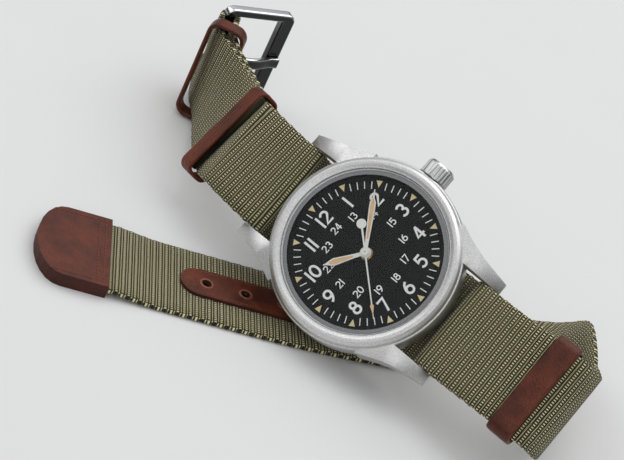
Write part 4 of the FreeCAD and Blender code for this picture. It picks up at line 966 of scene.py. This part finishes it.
def tick(clock, r0, r1, width):
    a = rad(clock)
    rx, ry = -cos(a), sin(a)
    sx, sy = sin(a), cos(a)
    return [(rx * r0 + sx * width / 2, ry * r0 + sy * width / 2), (rx * r1 + sx * width / 2, ry * r1 + sy * width / 2),
            (rx * r1 - sx * width / 2, ry * r1 - sy * width / 2), (rx * r0 - sx * width / 2, ry * r0 - sy * width / 2)]


def triangle(clock, r_tip, r_base, width):
    a = rad(clock)
    rx, ry = -cos(a), sin(a)
    sx, sy = sin(a), cos(a)
    return [(rx * r_tip, ry * r_tip), (rx * r_base + sx * width / 2, ry * r_base + sy * width / 2), (rx * r_base - sx * width / 2, ry * r_base - sy * width / 2)]


flat_prism([tick(6 * k, 12.65, 14.1, 0.18) for k in range(60) if k % 5], 0.004, 0.016, "minute_ticks", "print")
flat_prism([triangle(30 * k, 13.0, 14.35, 1.25) for k in range(12)], 0.004, 0.05, "hour_triangles", "lume_dial")

# luminous paint in the hands
ANG_H, ANG_M, ANG_S = 304.8, 57.7, 222.0


def hand_shape(clock, outline):
    a = rad(clock)
    rx, ry = -cos(a), sin(a)
    sx, sy = sin(a), cos(a)
    pts = [(r, w) for r, w in outline] + [(r, -w) for r, w in outline[::-1]]
    return [(rx * r + sx * w, ry * r + sy * w) for r, w in pts]


flat_prism([hand_shape(ANG_H, [(2.5, 0.20), (6.2, 0.50), (7.0, 0.30), (7.3, 0.12)])], 0.36, 0.41, "hour_hand_lume", "lume", "hour_train")
flat_prism([hand_shape(ANG_M, [(2.6, 0.16), (8.6, 0.38), (9.8, 0.36), (10.6, 0.06)])], 0.70, 0.75, "minute_hand_lume", "lume", "minute_train")
flat_prism([hand_shape(ANG_S, [(10.25, 0.10), (10.65, 0.30), (12.2, 0.05)])], 0.98, 1.02, "seconds_hand_lume", "lume", "seconds_train")

# ================================================================= stage, lights, camera
def stage_plane():
    bm = bmesh.new()
    bmesh.ops.create_grid(bm, x_segments=2, y_segments=2, size=1.5)
    me = bpy.data.meshes.new("floor")
    bm.to_mesh(me)
    bm.free()
    m = Nodes("floor_paint")
    f = m.noise(30.0, 3.0, 0.5, m.pos())
    m.link(m.mix(f, (0.70, 0.70, 0.70, 1), (0.72, 0.72, 0.72, 1)), m.bsdf.inputs["Base Color"])
    m.set(Roughness=0.9, Specular_IOR_Level=0.1)
    me.materials.append(m.mat)
    o = bpy.data.objects.new("floor", me)
    bpy.context.scene.collection.objects.link(o)


stage_plane()
for o in (cutter, hole_cutter):
    me = o.data
    bpy.data.objects.remove(o)
    bpy.data.meshes.remove(me)

R = Vector((0.737, 0.5645, 0.373))
U = Vector((-0.604, 0.300, 0.739))
B = Vector((0.305, -0.770, 0.5615)).normalized()
R = (R - B * R.dot(B)).normalized()
U = B.cross(R)
cam_data = bpy.data.cameras.new("camera")
cam = bpy.data.objects.new("camera", cam_data)
bpy.context.scene.collection.objects.link(cam)
cam_data.sensor_width = 36.0
cam_data.lens = 2104.0 / 624.0 * 36.0
cam_data.clip_start = 0.01
cam_data.clip_end = 10.0
cam_pos = HEAD - (R * 10.247 + U * (-4.373) - B * 400.0)
m4 = Matrix((R, U, B)).transposed().to_4x4()
m4.translation = cam_pos * MM
cam.matrix_world = m4
bpy.context.scene.camera = cam


def area(name, loc, target, size, power, color=(1, 1, 1), size_y=None):
    l = bpy.data.lights.new(name, "AREA")
    l.shape = "RECTANGLE"
    l.size = size
    l.size_y = size_y or size
    l.energy = power
    l.color = color
    o = bpy.data.objects.new(name, l)
    bpy.context.scene.collection.objects.link(o)
    o.location = loc
    d = Vector(target) - Vector(loc)
    o.rotation_euler = d.to_track_quat("-Z", "Y").to_euler()
    return o


area("key", (0.08, 0.50, 1.02), (0, 0, 0.01), 1.3, 7.3)
area("fill", (-0.9, -0.25, 0.8), (0, 0, 0.01), 0.9, 2.9)
area("front", (0.3, -1.0, 0.7), (0, 0, 0.02), 0.7, 1.5)
world = bpy.data.worlds.new("studio")
bpy.context.scene.world = world
world.use_nodes = True
wt = world.node_tree
bg = wt.nodes["Background"]
tc = wt.nodes.new("ShaderNodeTexCoord")
sep = wt.nodes.new("ShaderNodeSeparateXYZ")
wt.links.new(tc.outputs["Generated"], sep.inputs[0])
ramp = wt.nodes.new("ShaderNodeValToRGB")
ramp.color_ramp.elements[0].position = 0.10
ramp.color_ramp.elements[0].color = (0.06, 0.06, 0.065, 1)
ramp.color_ramp.elements[1].position = 0.60
ramp.color_ramp.elements[1].color = (0.90, 0.91, 0.92, 1)
wt.links.new(sep.outputs[2], ramp.inputs[0])
wt.links.new(ramp.outputs[0], bg.inputs[0])
bg.inputs[1].default_value = 0.69
bpy.context.scene.view_settings.view_transform = "Standard"
bpy.context.scene.view_settings.look = "None"
bpy.context.scene.view_settings.exposure = 0.0
